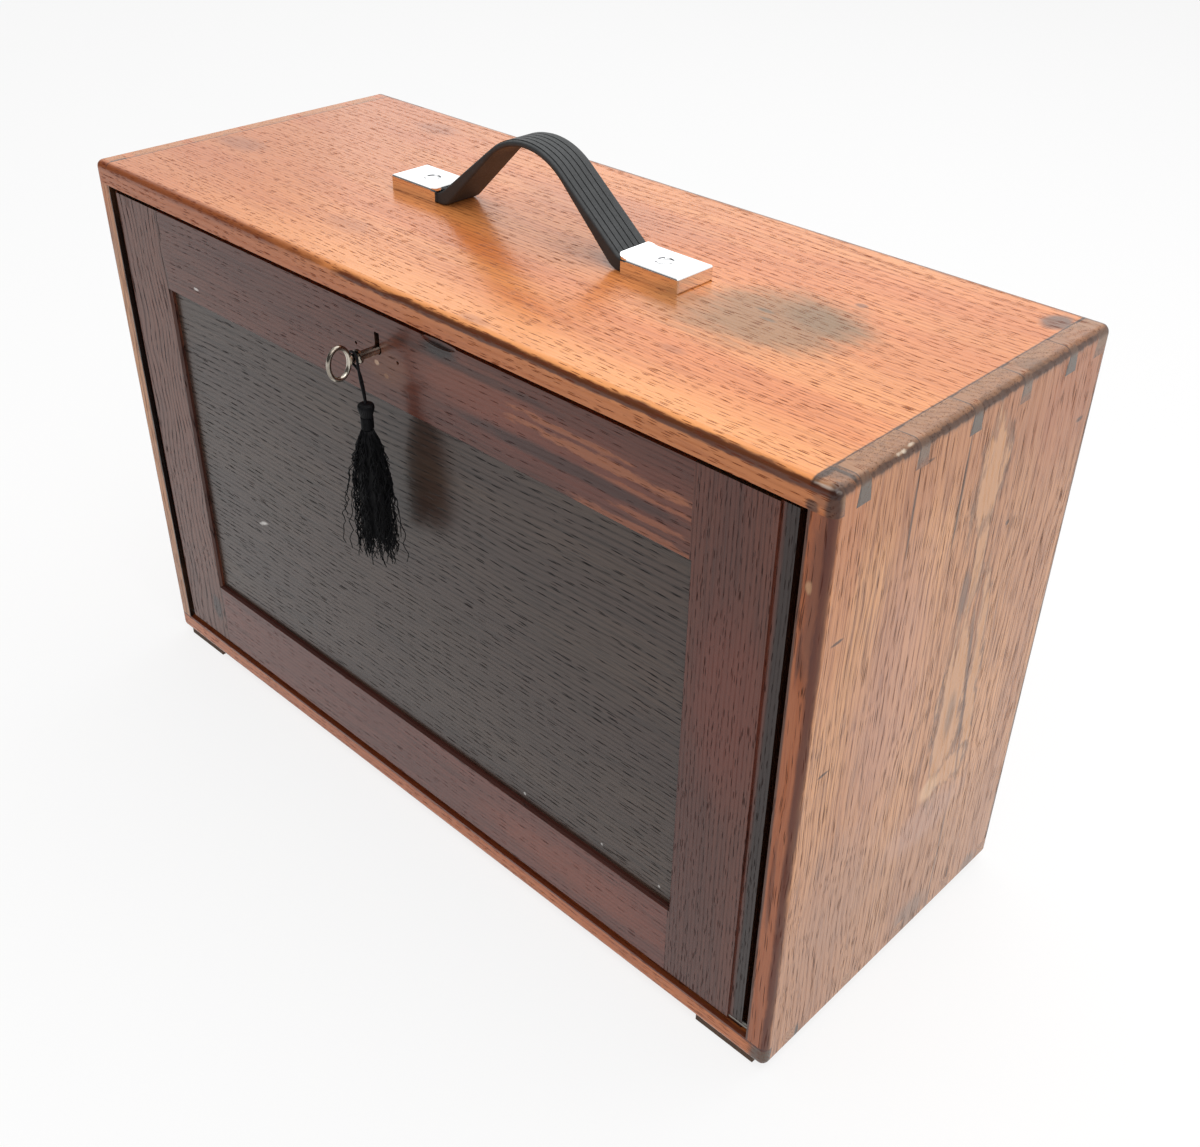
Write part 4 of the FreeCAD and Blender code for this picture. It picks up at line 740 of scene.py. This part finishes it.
# Bare oak inside, never polished: straw brown and dull
bareLook = alike(start=(400, 8, 8), light="#c8a072", mid="#b58a5e", dark="#94693f", pore="#6e4c30", end="#a07b55",
                 endDark="#86643f", specular=0.4, roughness=0.6, coat=0.0)
finish(woodFinish("bare oak, inner boards", bareLook), "stow_shelf", "upper_shelf", "drawer_runners")
crossLook = {**bareLook, "grain": "Y"}
finish(woodFinish("bare oak, drawer sides", crossLook), "divider_left", "divider_right",
       *[name for name in nodes if name.endswith("_sides")])
# Drawer fronts: shellac kept from the light, red-brown, even and clean
frontLook = alike(start=(33, 600, 21), light="#b8713f", mid="#a66236", dark="#6b3d24", pore="#432716")
finish(woodFinish("shellac on oak, drawer fronts", frontLook), *[name for name in nodes if name.endswith("_front")])
# The back: old shellac that nobody rubbed, brown and a little duller
backLook = alike(start=(700, 40, 300), light="#a8693c", mid="#955a35", dark="#623820", pore="#40240f",
                 pith=(0, 300, 240), coatRoughness=0.3)
finish(woodFinish("old shellac on oak, back", backLook), "back_panel")
print("woods finished")


# Metals, vinyl, rubber and cloth

# Each grit is in mm. It is drawn coarser than the real scratches, moulding and nap, so that it shows.
plainLooks = [
    # pressed brass, nickelled and chromed: a clean mirror, with a dark broken ring round each cap's middle
    {"name": "bright chrome plate", "colour": "#f4f5f6", "second": "#e9ebec", "share": 0.3, "grit": 1.5,
     "relief": 0.01, "shader": {"Metallic": 1, "Roughness": 0.05}, "pieces": ["handle_cap_left", "handle_cap_right"],
     "rings": [(-82.0, 14.0, 333.3), (82.0, 14.0, 333.3)]},
    # vinyl moulded over a steel core: black with a satin skin
    {"name": "moulded satin vinyl", "colour": "#323435", "second": "#3c3e3f", "share": 0.6, "grit": 0.8,
     "relief": 0.12, "shader": {"Roughness": 0.55, "Specular IOR Level": 0.35}, "pieces": ["handle_strap"]},
    # turned mild steel, left plain: grey with brown age in patches
    {"name": "plain steel screws", "colour": "#8d8a84", "second": "#6d6964", "share": 0.5, "grit": 0.6,
     "relief": 0.1, "shader": {"Metallic": 1, "Roughness": 0.35},
     "pieces": ["handle_screws", "lock_screws", "door_pins"]},
    # pressed steel, oiled once and gone dull and brown
    {"name": "dull steel lock", "colour": "#77726b", "second": "#4f4942", "share": 0.5, "grit": 0.8,
     "relief": 0.1, "shader": {"Metallic": 1, "Roughness": 0.45},
     "pieces": ["strike_plate", "lock_case", "lock_plate", "lock_bolt"]},
    # nickel plate on a cast key, worn to a warm grey with dark patches
    {"name": "worn nickel plate", "colour": "#c2baad", "second": "#5c5147", "share": 0.8, "grit": 0.7,
     "relief": 0.15, "shader": {"Metallic": 1, "Roughness": 0.18}, "pieces": ["key"]},
    # turned brass, handled for years: yellow-brown, half bright
    {"name": "turned brass", "colour": "#b08d4a", "second": "#7d6434", "share": 0.6, "grit": 0.8,
     "relief": 0.1, "shader": {"Metallic": 1, "Roughness": 0.3},
     "pieces": [name for name in nodes if name.endswith("_knobs")]},
    # moulded rubber, scuffed: matt and dusty brown
    {"name": "dark brown rubber pads", "colour": "#5c4636", "second": "#43342a", "share": 0.6, "grit": 0.5,
     "relief": 0.3, "shader": {"Roughness": 0.8}, "pieces": ["feet"]},
    # woven wool, napped: dull green with a faint bloom
    {"name": "green baize lining", "colour": "#22402b", "second": "#1a3423", "share": 0.6, "grit": 0.4,
     "relief": 0.5, "shader": {"Roughness": 0.95, "Sheen Weight": 0.3},
     "pieces": [name for name in nodes if name.endswith("_bottom") and "drawer" in name]},
]
blotch = {"size": 12, "counts": {1: 0.4, 2: 0.65}}  # a second tone in patches this many grits across
gritLook = {"counts": {1: 0.3, 2: 0.7}, "smoother": 0.85, "rougher": 1.2, "depth": 0.1}  # shares, and a depth in mm
wornRing = {"radius": 4.1, "width": 0.7, "edge": 0.4, "colour": "#3c3c3f", "gaps": {1: 0.44, 2: 0.52},
            "gapScale": 0.9, "height": 5}  # radius and width in mm, gaps for each radius, height in radii


def plainFinish(look):
    # a base colour with a second tone in patches, fine grit in its roughness, and dark broken rings
    material, tree, shader = newMaterial(look["name"], look["shader"])
    place = addNode(tree, "ShaderNodeTexCoord", output="Object")
    broad = addNode(tree, "ShaderNodeTexNoise", {}, {
        "Vector": place, "Scale": 1 / (look["grit"] * blotch["size"] * mm), "Detail": 4})
    fine = addNode(tree, "ShaderNodeTexNoise", {}, {"Vector": place, "Scale": 1 / (look["grit"] * mm), "Detail": 3})
    amount = addNode(tree, "ShaderNodeMapRange", {}, {0: broad, **blotch["counts"], 4: look["share"]})
    tint = addNode(tree, "ShaderNodeMix", colourMix, {
        0: amount, 6: linear(look["colour"]), 7: linear(look["second"])}, 2)
    for centre in look.get("rings", ()):
        radius, width = wornRing["radius"], wornRing["width"]
        moved = addNode(tree, "ShaderNodeMapping", {"vector_type": "TEXTURE"}, {
            0: place, 1: [size * mm for size in centre],
            3: (radius * mm, radius * mm, wornRing["height"] * radius * mm)})
        reach = addNode(tree, "ShaderNodeVectorMath", {"operation": "LENGTH"}, {0: moved}, "Value")
        off = addNode(tree, "ShaderNodeMath", {"operation": "SUBTRACT"}, {0: reach, 1: 1})
        off = addNode(tree, "ShaderNodeMath", {"operation": "ABSOLUTE"}, {0: off})
        line = addNode(tree, "ShaderNodeMapRange", smooth, {
            0: off, 1: width / radius, 2: wornRing["edge"] * width / radius})
        gap = addNode(tree, "ShaderNodeTexNoise", {}, {"Vector": moved, "Scale": wornRing["gapScale"], "Detail": 1})
        gap = addNode(tree, "ShaderNodeMapRange", smooth, {0: gap, **wornRing["gaps"]})
        shown = addNode(tree, "ShaderNodeMath", multiply, {0: line, 1: gap})
        tint = addNode(tree, "ShaderNodeMix", colourMix, {0: shown, 6: tint, 7: linear(wornRing["colour"])}, 2)
    tree.links.new(tint, shader.inputs["Base Color"])
    base = look["shader"]["Roughness"]
    rough = addNode(tree, "ShaderNodeMapRange", {}, {
        0: fine, **gritLook["counts"], 3: base * gritLook["smoother"], 4: base * gritLook["rougher"]})
    tree.links.new(rough, shader.inputs["Roughness"])
    bump = addNode(tree, "ShaderNodeBump", {}, {
        "Height": fine, "Strength": look["relief"], "Distance": gritLook["depth"] * mm})
    tree.links.new(bump, shader.inputs["Normal"])
    return material


for look in plainLooks:
    finish(plainFinish(look), *look["pieces"])
print("metals, vinyl, rubber and cloth finished")


# Studio: white paper under and behind, a dark room in front, soft light from above and the right

studio = {
    "floorSize": 8.0, "white": 0.93, "floorGlow": 0.8,
    # strengths of the paper behind, and of the room in front for reflections and for soft light
    "surround": 0.72, "frontGloss": 0.12, "frontFill": 0.55,
    "behind": {1: -0.25, 2: 0.15}, "above": {1: 0.5, 2: 0.85},  # directions where the paper starts and is full
}
lamps = {  # metres and watts
    "overhead": {"place": (0.1, 0.5, 1.5), "target": (0, 0, 0.2), "size": (1.4, 1.4), "power": 8.7},
    "window behind": {"place": (-1.0, 1.7, 1.25), "target": (0, 0, 0.3), "size": (2.1, 0.9), "power": 3.0},
    "right": {"place": (0.8, -0.45, 1.15), "target": (0.1, 0, 0.25), "size": (0.9, 0.9), "power": 6.0},
}


def backgroundRays(tree):
    # 1 where the camera, a reflection or glass looks at the background
    path = tree.nodes.new("ShaderNodeLightPath")
    mirrored = addNode(tree, "ShaderNodeMath", {"operation": "MAXIMUM"}, {
        0: path.outputs["Is Glossy Ray"], 1: path.outputs["Is Transmission Ray"]})
    seen = addNode(tree, "ShaderNodeMath", {"operation": "MAXIMUM"}, {0: path.outputs["Is Camera Ray"], 1: mirrored})
    return path.outputs["Is Camera Ray"], mirrored, seen


def whiteFloor():
    size = studio["floorSize"]
    mesh = bpy.data.meshes.new("floor")
    mesh.from_pydata([(-size, -size, 0), (size, -size, 0), (size, size, 0), (-size, size, 0)], [], [(0, 1, 2, 3)])
    floor = bpy.data.objects.new("floor", mesh)
    scene.collection.objects.link(floor)
    # uncoated paper, a plain white with no gloss
    material, tree, shader = newMaterial("white paper", {
        "Base Color": (studio["white"],) * 3 + (1,), "Roughness": 0.9, "Specular IOR Level": 0.1})
    seen = backgroundRays(tree)[2]
    share = addNode(tree, "ShaderNodeMath", multiply, {0: seen, 1: studio["floorGlow"]})
    glow = addNode(tree, "ShaderNodeEmission", {}, {"Color": (1, 1, 1, 1), "Strength": 1.0})
    mixed = addNode(tree, "ShaderNodeMixShader", {}, {0: share, 1: shader.outputs[0], 2: glow})
    tree.links.new(mixed, tree.nodes["Material Output"].inputs["Surface"])
    mesh.materials.append(material)


def surround():
    world = bpy.data.worlds.new("surround")
    scene.world = world
    world.use_nodes = True
    tree = world.node_tree
    tree.nodes.clear()
    direct, mirrored, seen = backgroundRays(tree)
    heading = addNode(tree, "ShaderNodeTexCoord")
    parts = addNode(tree, "ShaderNodeSeparateXYZ", {}, {0: heading}).node.outputs
    behind = addNode(tree, "ShaderNodeMapRange", smooth, {0: parts["Y"], **studio["behind"]})
    above = addNode(tree, "ShaderNodeMapRange", smooth, {0: parts["Z"], **studio["above"]})
    paper = addNode(tree, "ShaderNodeMath", {"operation": "MAXIMUM"}, {0: behind, 1: above})
    whole = addNode(tree, "ShaderNodeMath", {"operation": "MAXIMUM"}, {0: paper, 1: direct})
    room = addNode(tree, "ShaderNodeMapRange", {}, {0: mirrored, 3: studio["frontFill"], 4: studio["frontGloss"]})
    share = addNode(tree, "ShaderNodeMapRange", {}, {0: whole, 3: room})
    full = addNode(tree, "ShaderNodeMapRange", {}, {0: seen, 3: studio["surround"]})
    strength = addNode(tree, "ShaderNodeMath", multiply, {0: share, 1: full})
    light = addNode(tree, "ShaderNodeBackground", {}, {"Color": (1, 1, 1, 1), "Strength": strength})
    output = tree.nodes.new("ShaderNodeOutputWorld")
    tree.links.new(light, output.inputs["Surface"])


def softLight(name, place, target, size, power):
    data = bpy.data.lights.new(name, "AREA")
    data.shape = "RECTANGLE"
    data.size, data.size_y = size
    data.energy = power
    lamp = bpy.data.objects.new(name, data)
    scene.collection.objects.link(lamp)
    lamp.location = place
    lamp.rotation_euler = (Vector(target) - Vector(place)).to_track_quat("-Z", "Y").to_euler()


whiteFloor()
surround()
for name, lamp in lamps.items():
    softLight(name, **lamp)
scene.view_settings.view_transform = "Standard"
print("studio set")
